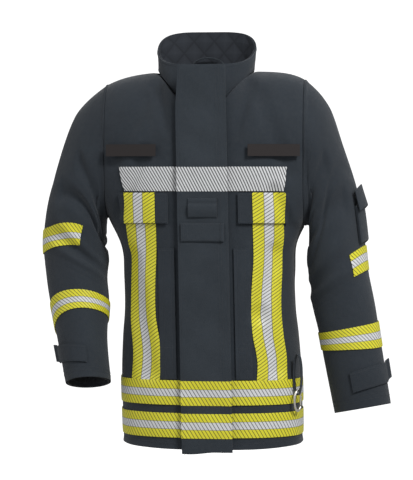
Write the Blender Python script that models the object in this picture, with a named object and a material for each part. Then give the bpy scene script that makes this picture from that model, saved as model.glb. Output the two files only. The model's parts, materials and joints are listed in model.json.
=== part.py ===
"""Turnout coat: shells, liners, closures, trims and hardware, each piece a separate closed solid.

Metres, +Z up. The front of the coat faces -Y and +X is the wearer's left side. Heights are
measured from the ground line under the hem while the pieces are shaped. Every piece is then
placed with the hanger loop at the origin.
"""
import math

import bmesh
import bpy
from mathutils import Vector

# body sizes
HEM_Z = 0.020
YOKE_Z = 0.670
SHOULDER_Z = 0.814
SHOULDER_ARC = 0.150
NECK_HALF_WIDTH = 0.112
FRONT_NECK_RISE = 0.28
BACK_NECK_RISE = 0.62
ARM_X = 0.210
BODY_SCALE_X = 1.0
FRONT_DEPTH = 0.138
FRONT_LEAN = 0.040
BACK_DEPTH = 0.120
SIDEWAYS_LEAN = 0.016
SHOULDER_DROP = 0.045
DROP_REACH = 0.240
ROUNDING = 2.6
SHOULDER_ROUNDING = 2.2
HALF_WIDTHS = [
    (0.00, 0.190), (0.08, 0.1925), (0.17, 0.193), (0.25, 0.188), (0.31, 0.182),
    (0.38, 0.182), (0.44, 0.186), (0.50, 0.213), (0.57, 0.246), (0.67, 0.262), (0.90, 0.262),
]

# cloth layers, as distances out from the body's surface
SHELL = 0.0016
LINER_OUT = 0.0036
LINER_IN = 0.0062
TRIM_LOW = 0.0013
TRIM_HIGH = 0.0025
FIT_GAP = 0.0004
SEAM_ANGLE_GAP = 0.0015
SEAM_ARC_GAP = 0.0005

# zip and storm flap
ZIP_HALF_OPENING = 0.0080
TEETH_HALF_WIDTH = 0.0032
ZIP_BOTTOM_Z = 0.040
ZIP_TOP_Z = 0.812
SLIDER_LENGTH = 0.013
FLAP_HALF_WIDTH = 0.053
FLAP_NECK_HALF_WIDTH = 0.047
FLAP_LOW = 0.0066
FLAP_THICKNESS = 0.0034
FLAP_FOOT_Z = 0.016
FLAP_TOP_Z = 0.824

# collar
COLLAR_FRONT_Z = 0.826
COLLAR_BACK_Z = 0.903
COLLAR_HALF_WIDTH = 0.116
COLLAR_THICKNESS = 0.0030

# tapes, pockets and strips
TAPE_WIDTH = 0.051
STRIPE_WIDTH = 0.070
CHEST_BAND_Z = 0.559
CHEST_BAND_REACH = 0.168
UPPER_HEM_BAND_Z = 0.113
LOWER_HEM_BAND_Z = 0.045
RIGHT_STRIPE_X = 0.100
LEFT_STRIPE_X = 0.103
POCKET_FLAP_TOP_Z = 0.5555
POCKET_FLAP_HEIGHT = 0.064
POCKET_FLAP_IN_X = 0.073
POCKET_FLAP_WIDTH = 0.110
HAND_POCKET_X = 0.062
HAND_POCKET_TOP_Z = 0.440
NAME_STRIP_Z = 0.632
NAME_STRIP_HEIGHT = 0.025
NAME_STRIP_X = 0.088
NAME_STRIP_LENGTH = 0.110

# the hanger loop's place, which becomes the origin
HANGER_POINT = Vector((0.0, 0.043, 0.846))

COLUMNS = 12
ROWS = 12
ROW_CROWDING = 1.35
RING = 20


def clear_scene():
    for item in list(bpy.data.objects):
        bpy.data.objects.remove(item, do_unlink=True)


def make_material(name, colour, roughness, metallic=0.0):
    material = bpy.data.materials.new(name)
    material.use_nodes = True
    shader = material.node_tree.nodes["Principled BSDF"]
    shader.inputs["Base Color"].default_value = (*colour, 1.0)
    shader.inputs["Roughness"].default_value = roughness
    shader.inputs["Metallic"].default_value = metallic
    return material


def smooth_through(points, at):
    """Reads a smooth curve through (position, value) pairs."""
    if at <= points[0][0]:
        return points[0][1]
    if at >= points[-1][0]:
        return points[-1][1]
    last = len(points) - 1
    index = max(i for i in range(last) if points[i][0] <= at)

    def slope(i):
        before = points[max(i - 1, 0)]
        after = points[min(i + 1, last)]
        return (after[1] - before[1]) / (after[0] - before[0])

    start = points[index]
    end = points[index + 1]
    span = end[0] - start[0]
    t = (at - start[0]) / span
    bend = slope(index) * (t ** 3 - 2 * t ** 2 + t) + slope(index + 1) * (t ** 3 - t ** 2)
    return start[1] * (2 * t ** 3 - 3 * t ** 2 + 1) + end[1] * (3 * t ** 2 - 2 * t ** 3) + bend * span


def smooth_step(low, high, value):
    t = min(max((value - low) / (high - low), 0.0), 1.0)
    return t * t * (3 - 2 * t)


def mix(a, b, t):
    return a + (b - a) * t


# ---------------------------------------------------------------- the body's surface

def half_width(z):
    return smooth_through(HALF_WIDTHS, z) * BODY_SCALE_X


def centre_x(z):
    return SIDEWAYS_LEAN * (1 - z / YOKE_Z) if z < YOKE_Z else 0.0


def front_depth(z):
    return FRONT_DEPTH - FRONT_LEAN * z


def shoulder_line(x):
    """The height of the shoulder seam: the wearer's right shoulder slopes more evenly."""
    power = 7 if x > 0 else 4
    return SHOULDER_Z - SHOULDER_DROP * (abs(x) / DROP_REACH) ** power


def body_point(angle, up):
    """A point on the body's surface.

    angle runs round the body in radians, 0 at the front centre and positive to the wearer's
    left. up is the height as far as the yoke, and then the way over the shoulder.
    """
    level = min(up, YOKE_Z)
    turn = 0.5 * math.pi * min(max((up - YOKE_Z) / SHOULDER_ARC, 0.0), 1.0)
    across = abs(math.sin(angle)) ** (2 / ROUNDING)
    along = abs(math.cos(angle)) ** (2 / ROUNDING)
    x = centre_x(level) + math.copysign(half_width(up) * across, math.sin(angle))
    rise = math.sin(turn) ** (2 / SHOULDER_ROUNDING)
    z = level + (shoulder_line(x) - YOKE_Z) * rise
    fade = max(math.cos(turn), 0.0) ** (2 / SHOULDER_ROUNDING)
    if math.cos(angle) > 0:
        keep = 1 - smooth_step(0.050, 0.095, abs(x))
        fade = mix(fade, 1.0, keep)
        y = -front_depth(z) * along * fade
    else:
        y = BACK_DEPTH * along * fade
    return Vector((x, y, z))


def body_normal(angle, up):
    """The surface's outward direction, from four points close by."""
    step = 0.004
    top = YOKE_Z + SHOULDER_ARC
    high = min(up + step, top)
    round_way = body_point(angle + step, up) - body_point(angle - step, up)
    up_way = body_point(angle, high) - body_point(angle, high - 2 * step)
    normal = round_way.cross(up_way)
    return normal.normalized()


def body_at(angle, up, lift):
    return body_point(angle, up) + body_normal(angle, up) * lift


def angle_at(z, offset):
    """The angle where the front surface is a given distance sideways from the front centre."""
    share = min(abs(offset) / half_width(z), 1.0)
    return math.copysign(math.asin(share ** (ROUNDING / 2)), offset)


def angle_after(z, start, distance):
    """The angle reached by going a distance round the body at one height."""
    steps = 24
    angle = start
    way = math.copysign(0.01, distance)
    walked = 0.0
    place = body_point(angle, z)
    while walked < abs(distance):
        following = body_point(angle + way, z)
        length = (following - place).length
        if walked + length > abs(distance):
            return angle + way * (abs(distance) - walked) / length
        walked += length
        place = following
        angle += way
        if abs(angle) > steps:
            break
    return angle


def side_angle(up, side):
    """The angle of the side seam, or of the armhole's edge above the armpit."""
    level = min(up, YOKE_Z)
    reach = ARM_X - side * centre_x(level)
    share = reach / half_width(up)
    if share >= 1.0:
        return 0.5 * math.pi
    return math.asin(share ** (ROUNDING / 2))


def neck_fraction(side):
    """How far across a panel the neckline ends."""
    top = YOKE_Z + SHOULDER_ARC
    angle = math.asin((NECK_HALF_WIDTH / half_width(top)) ** (ROUNDING / 2))
    return angle / side_angle(top, side)


def panel_top(fraction, side, rise):
    """The way up to a panel's top edge: the neckline, then the shoulder seam."""
    end = neck_fraction(side)
    top = YOKE_Z + SHOULDER_ARC - SEAM_ARC_GAP
    if fraction >= end:
        return top
    low = YOKE_Z + SHOULDER_ARC * rise
    return top - (top - low) * math.cos(0.5 * math.pi * fraction / end)


def place(point):
    return Vector(point) - HANGER_POINT


# ---------------------------------------------------------------- closed solids from grids

def slab(name, top, bottom, material, closed=False):
    """A closed solid between two grids of points, joined along their edges.

    top is the outer grid, with its rows running so that its faces point out. closed joins
    each row's last point to its first, for a tube.
    """
    rows = len(top)
    columns = len(top[0])
    vertices = [place(p) for row in top for p in row] + [place(p) for row in bottom for p in row]
    layer = rows * columns
    faces = []

    def at(r, c):
        return r * columns + c % columns

    spans = columns if closed else columns - 1
    for r in range(rows - 1):
        for c in range(spans):
            for corner in ((0, 1), (1, 0)):
                third = at(r + corner[0], c + corner[1])
                triangle = (at(r, c), third, at(r + 1, c + 1))
                faces.append(triangle)
                faces.append(tuple(layer + i for i in reversed(triangle)))
    for c in range(spans):
        for r in (0, rows - 1):
            pair = (at(r, c + 1), at(r, c)) if r == 0 else (at(r, c), at(r, c + 1))
            faces.append((pair[0], pair[1], layer + pair[1], layer + pair[0]))
    if not closed:
        for r in range(rows - 1):
            for c in (0, columns - 1):
                pair = (at(r, c), at(r + 1, c)) if c == 0 else (at(r + 1, c), at(r, c))
                faces.append((pair[0], pair[1], layer + pair[1], layer + pair[0]))
    return mesh_object(name, vertices, faces, material)


def mesh_object(name, vertices, faces, material):
    mesh = bpy.data.meshes.new(name)
    mesh.from_pydata([tuple(v) for v in vertices], [], faces)
    shaped = bmesh.new()
    shaped.from_mesh(mesh)
    bmesh.ops.recalc_face_normals(shaped, faces=shaped.faces)
    shaped.to_mesh(mesh)
    shaped.free()
    mesh.materials.append(material)
    mesh.update()
    item = bpy.data.objects.new(name, mesh)
    bpy.context.scene.collection.objects.link(item)
    return item


def fractions(count):
    return [i / count for i in range(count + 1)]


def row_fractions():
    """Shares of a panel's height, closer together towards the shoulder."""
    return [1 - (1 - v) ** ROW_CROWDING for v in fractions(ROWS)]


# ---------------------------------------------------------------- body panels

def body_panel(name, side, facing, high, low, material):
    """A front half (facing 'front') on one side, between two distances from the surface."""
    rise = FRONT_NECK_RISE
    grids = []
    for lift in (high, low):
        rows = []
        for v in row_fractions():
            row = []
            for u in fractions(COLUMNS):
                up = mix(HEM_Z, panel_top(u, side, rise), v)
                start = angle_at(min(up, YOKE_Z), opening_offset(up, side))
                end = side_angle(up, side) - SEAM_ANGLE_GAP
                angle = side * mix(start, end, u)
                row.append(inside_armhole(body_at(angle, up, lift)))
            rows.append(row if side > 0 else row[::-1])
        grids.append(rows)
    return slab(name, grids[0], grids[1], material)


def back_panel(name, high, low, material):
    """The whole back, from side seam to side seam."""
    grids = []
    for lift in (high, low):
        rows = []
        for v in row_fractions():
            row = []
            for side in (1, -1):
                for u in fractions(COLUMNS):
                    share = 1 - u if side > 0 else u
                    if side < 0 and u == 0:
                        continue
                    up = mix(HEM_Z, panel_top(share, side, BACK_NECK_RISE), v)
                    end = side_angle(up, side) - SEAM_ANGLE_GAP
                    angle = math.pi - side * share * end
                    row.append(inside_armhole(body_at(angle, up, lift)))
            rows.append(row)
        grids.append(rows)
    return slab(name, grids[0], grids[1], material)


def opening_offset(up, side):
    """How far the front edge lies from the body's middle, beside the straight zip line."""
    z = body_point(0.0, up).z
    return ZIP_HALF_OPENING + side * (centre_line_x(z) - centre_x(min(up, YOKE_Z)))


def inside_armhole(point):
    x = min(max(point.x, -ARM_X), ARM_X)
    return Vector((x, point.y, point.z))


def body_patch(name, corner_angle, corner_up, columns, rows, material, low=TRIM_LOW, high=TRIM_HIGH):
    """A trim on the body: corner_angle(u, up) and corner_up(v) give its outline."""
    grids = []
    for lift in (high, low):
        grid = []
        for v in fractions(rows):
            up = corner_up(v)
            grid.append([body_at(corner_angle(u, up), up, lift) for u in fractions(columns)])
        grids.append(grid)
    return slab(name, grids[0], grids[1], material)


def band(name, bottom_z, start_x, end, columns, material):
    """A tape round the body from a sideways place to an angle, at one height."""
    def angle(u, up):
        return mix(angle_at(up, start_x), end, u)

    def up(v):
        return bottom_z + TAPE_WIDTH * v

    return body_patch(name, angle, up, columns, 1, material)


def front_block(name, x0, x1, z0, z1, low, high, material, rows=1):
    """A flat strip lying along the straight front line, between two distances out from it."""
    grids = []
    for lift in (high, low):
        grid = []
        for v in fractions(rows):
            z = mix(z0, z1, v)
            grid.append([front_place(x, z, lift) for x in (x0, x1)])
        grids.append(grid)
    return slab(name, grids[0], grids[1], material)


def front_place(x, z, lift):
    """A point beside the straight front line, a distance out from it."""
    lean = math.atan(FRONT_LEAN)
    line = Vector((centre_line_x(z) + x, -front_depth(z), z))
    return line + Vector((0, -math.cos(lean), -math.sin(lean))) * lift


def centre_line_x(z):
    return SIDEWAYS_LEAN * (1 - z / YOKE_Z)


# ---------------------------------------------------------------- collar

def collar_point(angle, share, lift):
    """angle 0 at the front, share 0 at the neck seam and 1 at the rim."""
    base = neck_point(angle)
    back = 0.5 - 0.5 * math.cos(angle)
    rim_z = mix(COLLAR_FRONT_Z, COLLAR_BACK_Z, smooth_step(0.0, 1.0, back))
    reach = math.sin(angle)
    flare = 1 + 0.04 * share
    out = Vector((reach, -math.cos(angle), 0)).normalized()
    x = base.x * mix(1.0, COLLAR_HALF_WIDTH / NECK_HALF_WIDTH, share)
    y = base.y * flare + (0.010 * (1 - back) + 0.006) * share
    z = mix(base.z, rim_z, share)
    return Vector((x, y, z)) + out * lift


def neck_point(angle):
    """The neck seam, a little inside the panels' top edges."""
    back = 0.5 - 0.5 * math.cos(angle)
    side = math.sin(angle) ** 2
    x = math.sin(angle) * (NECK_HALF_WIDTH - 0.009)
    depth = 0.098 if math.cos(angle) > 0 else 0.058
    z = mix(mix(0.738, 0.803, back), SHOULDER_Z + 0.002, side)
    return Vector((x, -math.cos(angle) * depth, z))


def collar(name, high, low, start_share, material):
    grids = []
    start = math.asin(ZIP_HALF_OPENING * 1.6 / NECK_HALF_WIDTH)
    for lift in (high, low):
        grid = []
        for v in fractions(4):
            share = mix(start_share, 1.0, v)
            row = []
            for u in fractions(26):
                angle = mix(start, 2 * math.pi - start, u)
                row.append(collar_point(angle, share, lift))
            grid.append(row)
        grids.append(grid)
    return slab(name, grids[0], grids[1], material)


# ---------------------------------------------------------------- sleeves

ARM_GAP = 0.0006
ELBOW_SHARE = 0.60
UNDERARM_EASE = 0.0100
LEFT_RINGS = [
    # share, outer x, outer z, inner x, inner z, half depth, y of the middle
    (0.00, 0.2110, 0.796, 0.2110, 0.500, 0.080, 0.000),
    (0.12, 0.256, 0.752, 0.2160, 0.474, 0.082, 0.000),
    (0.25, 0.292, 0.660, 0.2150, 0.432, 0.077, -0.002),
    (0.38, 0.322, 0.555, 0.2160, 0.390, 0.072, -0.004),
    (0.50, 0.340, 0.440, 0.2230, 0.345, 0.068, -0.006),
    (0.66, 0.356, 0.345, 0.2370, 0.280, 0.063, -0.010),
    (0.82, 0.371, 0.255, 0.2520, 0.205, 0.060, -0.016),
    (1.00, 0.395, 0.110, 0.2760, 0.088, 0.056, -0.028),
]
RIGHT_RINGS = [
    (0.00, 0.2110, 0.788, 0.2110, 0.500, 0.080, 0.000),
    (0.12, 0.268, 0.742, 0.2150, 0.466, 0.080, 0.000),
    (0.25, 0.305, 0.668, 0.2115, 0.440, 0.077, -0.002),
    (0.38, 0.333, 0.575, 0.2110, 0.410, 0.072, -0.006),
    (0.50, 0.348, 0.470, 0.2105, 0.375, 0.068, -0.010),
    (0.66, 0.344, 0.375, 0.2080, 0.320, 0.063, -0.024),
    (0.82, 0.323, 0.280, 0.2080, 0.245, 0.060, -0.045),
    (1.00, 0.292, 0.150, 0.1960, 0.158, 0.054, -0.080),
]


def ring_values(side, share):
    rings = LEFT_RINGS if side > 0 else RIGHT_RINGS
    columns = [[(row[0], row[i]) for row in rings] for i in range(1, 7)]
    return [smooth_through(column, share) for column in columns]


def sleeve_middle(side, share):
    outer_x, outer_z, inner_x, inner_z, depth, y = ring_values(side, share)
    return Vector((side * 0.5 * (outer_x + inner_x), y, 0.5 * (outer_z + inner_z)))


def armhole_edge(side):
    """The body's armhole edge as (angle from the top, distance) pairs round its middle."""
    middle = sleeve_middle(side, 0.0)
    pairs = []
    count = 60
    for facing in (0, 1):
        for i in range(count + 1):
            up = mix(0.48, YOKE_Z + SHOULDER_ARC, i / count)
            turn = side_angle(up, side)
            if turn >= 0.5 * math.pi:
                continue
            angle = side * turn if facing == 0 else math.pi - side * turn
            point = body_point(angle, up)
            out = Vector((point.y - middle.y, point.z - middle.z))
            pairs.append((math.atan2(-out.x, out.y) % (2 * math.pi), out.length))
    pairs.sort()
    first = pairs[0]
    last = pairs[-1]
    wrap = 2 * math.pi
    return [(last[0] - wrap, last[1])] + pairs + [(first[0] + wrap, first[1])]


EDGES = {side: armhole_edge(side) for side in (1, -1)}


def edge_distance(side, theta):
    pairs = EDGES[side]
    for before, after in zip(pairs, pairs[1:]):
        if before[0] <= theta <= after[0]:
            t = (theta - before[0]) / max(after[0] - before[0], 1e-9)
            return mix(before[1], after[1], t)
    return pairs[0][1]


def sleeve_point(side, share, theta):
    """A point on a sleeve: share 0 at the armhole and 1 at the cuff, theta 0 on the outer side."""
    outer_x, outer_z, inner_x, inner_z, depth, y = ring_values(side, share)
    outer = Vector((side * outer_x, y, outer_z))
    inner = Vector((side * inner_x, y, inner_z))
    middle = (outer + inner) * 0.5
    half = (outer - inner) * 0.5
    path = sleeve_middle(side, min(share + 0.02, 1.0)) - sleeve_middle(side, max(share - 0.02, 0.0))
    front = half.cross(path).normalized()
    if front.y > 0:
        front = -front
    oval = middle + half * math.cos(theta) + front * depth * math.sin(theta)
    blend = 1 - smooth_step(0.0, 0.16, share)
    if share > 0.40:
        return oval
    distance = edge_distance(side, theta % (2 * math.pi))
    edge = sleeve_middle(side, 0.0) + Vector((0, -math.sin(theta), math.cos(theta))) * distance
    point = oval.lerp(edge, blend)
    least = ARM_X + 0.001 + UNDERARM_EASE * smooth_step(0.0, 0.09, share)
    if abs(point.x) < least:
        point.x = side * mix(least, abs(point.x), smooth_step(0.16, 0.40, share))
    return point


def sleeve_at(side, share, theta, lift):
    step = mix(0.08, 0.01, smooth_step(0.0, 0.15, share))
    low = max(share - step, 0.0)
    high = min(share + step, 1.0)
    along = sleeve_point(side, high, theta) - sleeve_point(side, low, theta)
    around = sleeve_point(side, share, theta + 0.05) - sleeve_point(side, share, theta - 0.05)
    normal = around.cross(along).normalized() * side
    point = sleeve_point(side, share, theta) + normal * lift
    if share == 0.0:
        point.x = side * max(abs(point.x), ARM_X + ARM_GAP)
    return point


def tilted(share, tilt, theta):
    """Slides a level line down the sleeve on its outside and on its front."""
    return share + tilt[0] * math.cos(theta) + tilt[1] * math.sin(theta)


def sleeve_tube(name, side, start, end, rows, high, low, material, tilt=(0.0, 0.0)):
    grids = []
    for lift in (high, low):
        grid = []
        for v in fractions(rows):
            share = mix(start, end, v)
            turns = [2 * math.pi * i / RING for i in range(RING)]
            row = [sleeve_at(side, tilted(share, tilt, theta), theta, lift) for theta in turns]
            grid.append(row[::-1] if side > 0 else row)
        grids.append(grid[::-1])
    return slab(name, grids[0], grids[1], material, closed=True)


def sleeve_patch(name, side, share_at, theta_at, rows, columns, low, high, material):
    """A trim on a sleeve's outside: share_at(u, v) and theta_at(u, v) give its outline."""
    grids = []
    for lift in (high, low):
        grid = []
        for v in fractions(rows):
            row = []
            for u in fractions(columns):
                row.append(sleeve_at(side, share_at(u, v), theta_at(u, v), lift))
            grid.append(row)
        grids.append(grid)
    return slab(name, grids[0], grids[1], material)


UPPER_BAND_SHARE = {1: 0.485, -1: 0.390}
UPPER_BAND_TILT = {1: (0.010, 0.0), -1: (0.105, 0.0)}
UPPER_BAND_TURN = {1: (-0.9, 1.05), -1: (-0.9, 1.75)}
FOREARM_BAND_SHARE = {1: 0.7425, -1: 0.715}
FOREARM_BAND_TILT = {1: (0.0325, 0.012), -1: (0.055, -0.035)}
BAND_SHARE_WIDTH = 0.078
CUFF_STRAP_SHARE = {1: 0.925, -1: 0.925}
CUFF_STRAP_SHARE_WIDTH = 0.055
CUFF_STRAP_TURN = (0.05, 1.75)
SLEEVE_POCKET_SHARES = (0.400, 0.482)
SLEEVE_FLAP_SHARES = (0.365, 0.405)
SLEEVE_POCKET_TURN = (-0.55, 0.55)
NAMES = {1: "left", -1: "right"}


def sleeve(side, cloth, lining, tape, knit):
    """One whole sleeve: upper part, forearm, liners, tapes, cuff strap and wristlet."""
    word = NAMES[side]
    elbow = ELBOW_SHARE
    gap = 0.001
    sleeve_tube(word + "_upper_sleeve", side, 0.0, elbow - gap, 7, 0.0, -SHELL, cloth)
    sleeve_tube(word + "_upper_sleeve_liner", side, 0.0, elbow - gap, 7, -LINER_OUT, -LINER_IN, lining)
    sleeve_tube(word + "_forearm", side, elbow + gap, 1.0, 4, 0.0, -SHELL, cloth)
    sleeve_tube(word + "_forearm_liner", side, elbow + gap, 1.0, 4, -LINER_OUT, -LINER_IN, lining)
    sleeve_tube(word + "_wristlet", side, 0.86, 0.99, 2, -0.0105, -0.0125, knit)
    band_start = UPPER_BAND_SHARE[side]
    turn = UPPER_BAND_TURN[side]

    def upper_share(u, v):
        return tilted(band_start + BAND_SHARE_WIDTH * v, UPPER_BAND_TILT[side], upper_turn(u, v))

    def upper_turn(u, v):
        return mix(turn[0], turn[1], u)

    sleeve_patch(word + "_upper_band", side, upper_share, upper_turn, 2, 10, TRIM_LOW, TRIM_HIGH, tape)
    start = FOREARM_BAND_SHARE[side]
    sleeve_tube(word + "_forearm_band", side, start, start + BAND_SHARE_WIDTH, 2, TRIM_HIGH + 0.0005,
                TRIM_LOW, tape, FOREARM_BAND_TILT[side])
    strap_start = CUFF_STRAP_SHARE[side]

    def strap_share(u, v):
        return strap_start + CUFF_STRAP_SHARE_WIDTH * (v - 0.5)

    def strap_turn(u, v):
        return mix(CUFF_STRAP_TURN[0], CUFF_STRAP_TURN[1], u)

    sleeve_patch(word + "_cuff_strap", side, strap_share, strap_turn, 1, 10, TRIM_LOW + 0.0006,
                 TRIM_HIGH + 0.0016, cloth)


def sleeve_pocket(side, cloth):
    """The small pocket on the outside of the left upper sleeve, with its flap."""
    first, last = SLEEVE_POCKET_TURN

    def turn(u, v):
        return mix(first, last, u)

    def pocket_share(u, v):
        return mix(*SLEEVE_POCKET_SHARES, v)

    def flap_share(u, v):
        return mix(*SLEEVE_FLAP_SHARES, v)

    word = NAMES[side]
    sleeve_patch(word + "_sleeve_pocket", side, pocket_share, turn, 2, 8, TRIM_LOW, 0.0080, cloth)
    sleeve_patch(word + "_sleeve_pocket_flap", side, flap_share, turn, 1, 8, 0.0096, 0.0120, cloth)


def chest_pocket_flap(side, cloth, tape):
    """A chest pocket's flap, with the front stripe's upper length sewn on it."""
    word = NAMES[side]
    top = POCKET_FLAP_TOP_Z
    foot = top - POCKET_FLAP_HEIGHT
    inner_x = side * POCKET_FLAP_IN_X

    def angle(u, up):
        start = angle_at(up, inner_x)
        end = angle_after(up, start, side * POCKET_FLAP_WIDTH)
        return mix(start, end, u)

    def up(v):
        return mix(foot, top, v)

    body_patch(word + "_pocket_flap", angle, up, 8, 1, cloth, 0.0038, 0.0058)
    stripe_x = side * (LEFT_STRIPE_X if side > 0 else RIGHT_STRIPE_X)

    def stripe_angle(u, up_way):
        start = angle_at(up_way, stripe_x)
        return mix(start, angle_after(up_way, start, side * STRIPE_WIDTH), u)

    body_patch(word + "_flap_stripe", stripe_angle, up, 7, 1, tape, 0.0068, 0.0080)
    low = UPPER_HEM_BAND_Z + TAPE_WIDTH + 0.001

    def lower_up(v):
        return mix(low, foot + 0.030, v)

    body_patch(word + "_stripe", stripe_angle, lower_up, 7, 6, tape)


def hand_pocket(side, cloth):
    """A hand pocket: the welt patch beside the storm flap."""
    low = UPPER_HEM_BAND_Z + TAPE_WIDTH + 0.002

    def angle(u, up):
        return mix(angle_at(up, side * HAND_POCKET_X), angle_at(up, side * (RIGHT_STRIPE_X - 0.004)), u)

    def up(v):
        return mix(low, HAND_POCKET_TOP_Z, v)

    body_patch(NAMES[side] + "_hand_pocket", angle, up, 3, 3, cloth, 0.0010, 0.0022)


def name_strip(side, strip):
    """A blank hook-and-loop strip: a flat plate lying against the chest."""
    start = angle_at(NAME_STRIP_Z, side * NAME_STRIP_X)
    end = angle_after(NAME_STRIP_Z, start, side * NAME_STRIP_LENGTH)
    middle = 0.5 * (start + end)
    centre_up = NAME_STRIP_Z + 0.5 * NAME_STRIP_HEIGHT
    normal = body_normal(middle, centre_up)
    across = (body_point(end, centre_up) - body_point(start, centre_up)).normalized()
    normal = (normal - across * normal.dot(across)).normalized()
    tall = across.cross(normal).normalized()
    if tall.z < 0:
        tall = -tall
    centre = body_point(middle, centre_up)
    grids = []
    for lift in (0.0062, 0.0042):
        grid = []
        for v in (-0.5, 0.5):
            row = []
            for u in (-0.5, 0.5):
                offset = across * NAME_STRIP_LENGTH * u + tall * NAME_STRIP_HEIGHT * v
                row.append(centre + offset + normal * lift)
            grid.append(row)
        grids.append(grid)
    slab(NAMES[side] + "_name_strip", grids[0], grids[1], strip)


def zip_and_flap(cloth, tape, silver, strip, metal, black):
    """The zip, the storm flap over it, and what is sewn to the flap."""
    teeth = TEETH_HALF_WIDTH
    for side in (1, -1):
        edge = ZIP_HALF_OPENING - 0.0006
        profile = [(0.0003, 0.0010), (teeth, 0.0010), (teeth, -0.0004), (edge, -0.0004),
                   (edge, -0.0014), (0.0003, -0.0014)]
        ends = (ZIP_BOTTOM_Z, ZIP_TOP_Z)
        vertices = [place(front_place(side * x, z, lift)) for z in ends for x, lift in profile]
        count = len(profile)
        faces = [tuple(range(count))[::-1], tuple(range(count, 2 * count))]
        for i in range(count):
            j = (i + 1) % count
            faces.append((i, j, count + j, count + i))
        mesh_object("zip_tape_" + NAMES[side], vertices, faces, black)
    front_block("zip_bottom_box", -0.0055, 0.0055, ZIP_BOTTOM_Z - 0.012, ZIP_BOTTOM_Z - 0.0004, -0.0014,
                0.0028, metal)
    low = ZIP_TOP_Z - SLIDER_LENGTH
    channel = [(-0.0056, 0.0001), (-0.0038, 0.0001), (-0.0038, 0.0015), (0.0038, 0.0015),
               (0.0038, 0.0001), (0.0056, 0.0001), (0.0056, 0.0030), (-0.0056, 0.0030)]
    vertices = [place(front_place(x, z, lift)) for z in (low, ZIP_TOP_Z) for x, lift in channel]
    count = len(channel)
    faces = [tuple(range(count))[::-1], tuple(range(count, 2 * count))]
    for i in range(count):
        j = (i + 1) % count
        faces.append((i, j, count + j, count + i))
    mesh_object("zip_slider", vertices, faces, metal)
    front_block("zip_pull", -0.0030, 0.0030, low - 0.024, low + 0.006, 0.0034, 0.0046, metal)

    flap_high = FLAP_LOW + FLAP_THICKNESS
    grids = []
    neck_z = 0.735
    for lift in (flap_high, FLAP_LOW):
        grid = []
        for z in (FLAP_FOOT_Z, 0.30, 0.62, neck_z, FLAP_TOP_Z):
            narrow = smooth_step(neck_z - 0.02, FLAP_TOP_Z, z)
            left = -mix(FLAP_HALF_WIDTH, FLAP_NECK_HALF_WIDTH, narrow)
            grid.append([front_place(x, z, lift) for x in (left, 0.0, FLAP_HALF_WIDTH)])
        grids.append(grid)
    slab("storm_flap", grids[0], grids[1], cloth)
    edge = FLAP_HALF_WIDTH - 0.0005
    front_block("hook_strip", -0.050, -0.030, 0.10, 0.70, FLAP_LOW - 0.0016, FLAP_LOW - 0.0004, strip)
    front_block("loop_strip", -0.050, -0.030, 0.10, 0.70, 0.0010, 0.0022, strip)
    tape_low = flap_high + FIT_GAP
    tape_high = tape_low + 0.0012
    rows = (("chest_band_flap", CHEST_BAND_Z, silver), ("hem_band_upper_flap", UPPER_HEM_BAND_Z, tape),
            ("hem_band_lower_flap", LOWER_HEM_BAND_Z, tape))
    for name, z, material in rows:
        front_block(name, -edge, edge, z, z + TAPE_WIDTH, tape_low, tape_high, material)
    front_block("radio_keeper", -0.030, 0.030, 0.505, 0.545, tape_low, tape_low + 0.003, cloth)
    front_block("radio_strap", -0.046, 0.044, 0.455, 0.493, tape_low + 0.0005, tape_low + 0.004, cloth)


CARABINER_X = 0.176
CARABINER_TOP_Z = 0.140
CARABINER_LIFT = 0.014
WIRE = 0.0026


def round_bar(name, path, radius, sides, material, closed=False):
    """A round bar along a list of points."""
    rings = []
    count = len(path)
    for i, point in enumerate(path):
        before = path[(i - 1) % count] if closed or i > 0 else path[i]
        after = path[(i + 1) % count] if closed or i < count - 1 else path[i]
        along = (after - before).normalized()
        side = along.cross(CARABINER_FACE).normalized()
        face = side.cross(along)
        turns = [2 * math.pi * s / sides for s in range(sides)]
        rings.append([point + side * radius * math.cos(t) + face * radius * math.sin(t) for t in turns])
    vertices = [place(p) for ring in rings for p in ring]
    faces = []
    spans = count if closed else count - 1
    for i in range(spans):
        j = (i + 1) % count
        for s in range(sides):
            t = (s + 1) % sides
            faces.append((i * sides + s, i * sides + t, j * sides + t, j * sides + s))
    if not closed:
        faces.append(tuple(range(sides)))
        faces.append(tuple((count - 1) * sides + s for s in range(sides))[::-1])
    return mesh_object(name, vertices, faces, material)


CARABINER_ANGLE = angle_at(CARABINER_TOP_Z, CARABINER_X)
CARABINER_FACE = body_normal(CARABINER_ANGLE, CARABINER_TOP_Z)
CARABINER_FACE.z = 0.0
CARABINER_FACE.normalize()
CARABINER_SIDE = Vector((0, 0, 1)).cross(CARABINER_FACE)
CARABINER_TOP = body_at(CARABINER_ANGLE, CARABINER_TOP_Z, CARABINER_LIFT)


def carabiner_place(across, down):
    return CARABINER_TOP + CARABINER_SIDE * across - Vector((0, 0, 1)) * down


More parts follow.
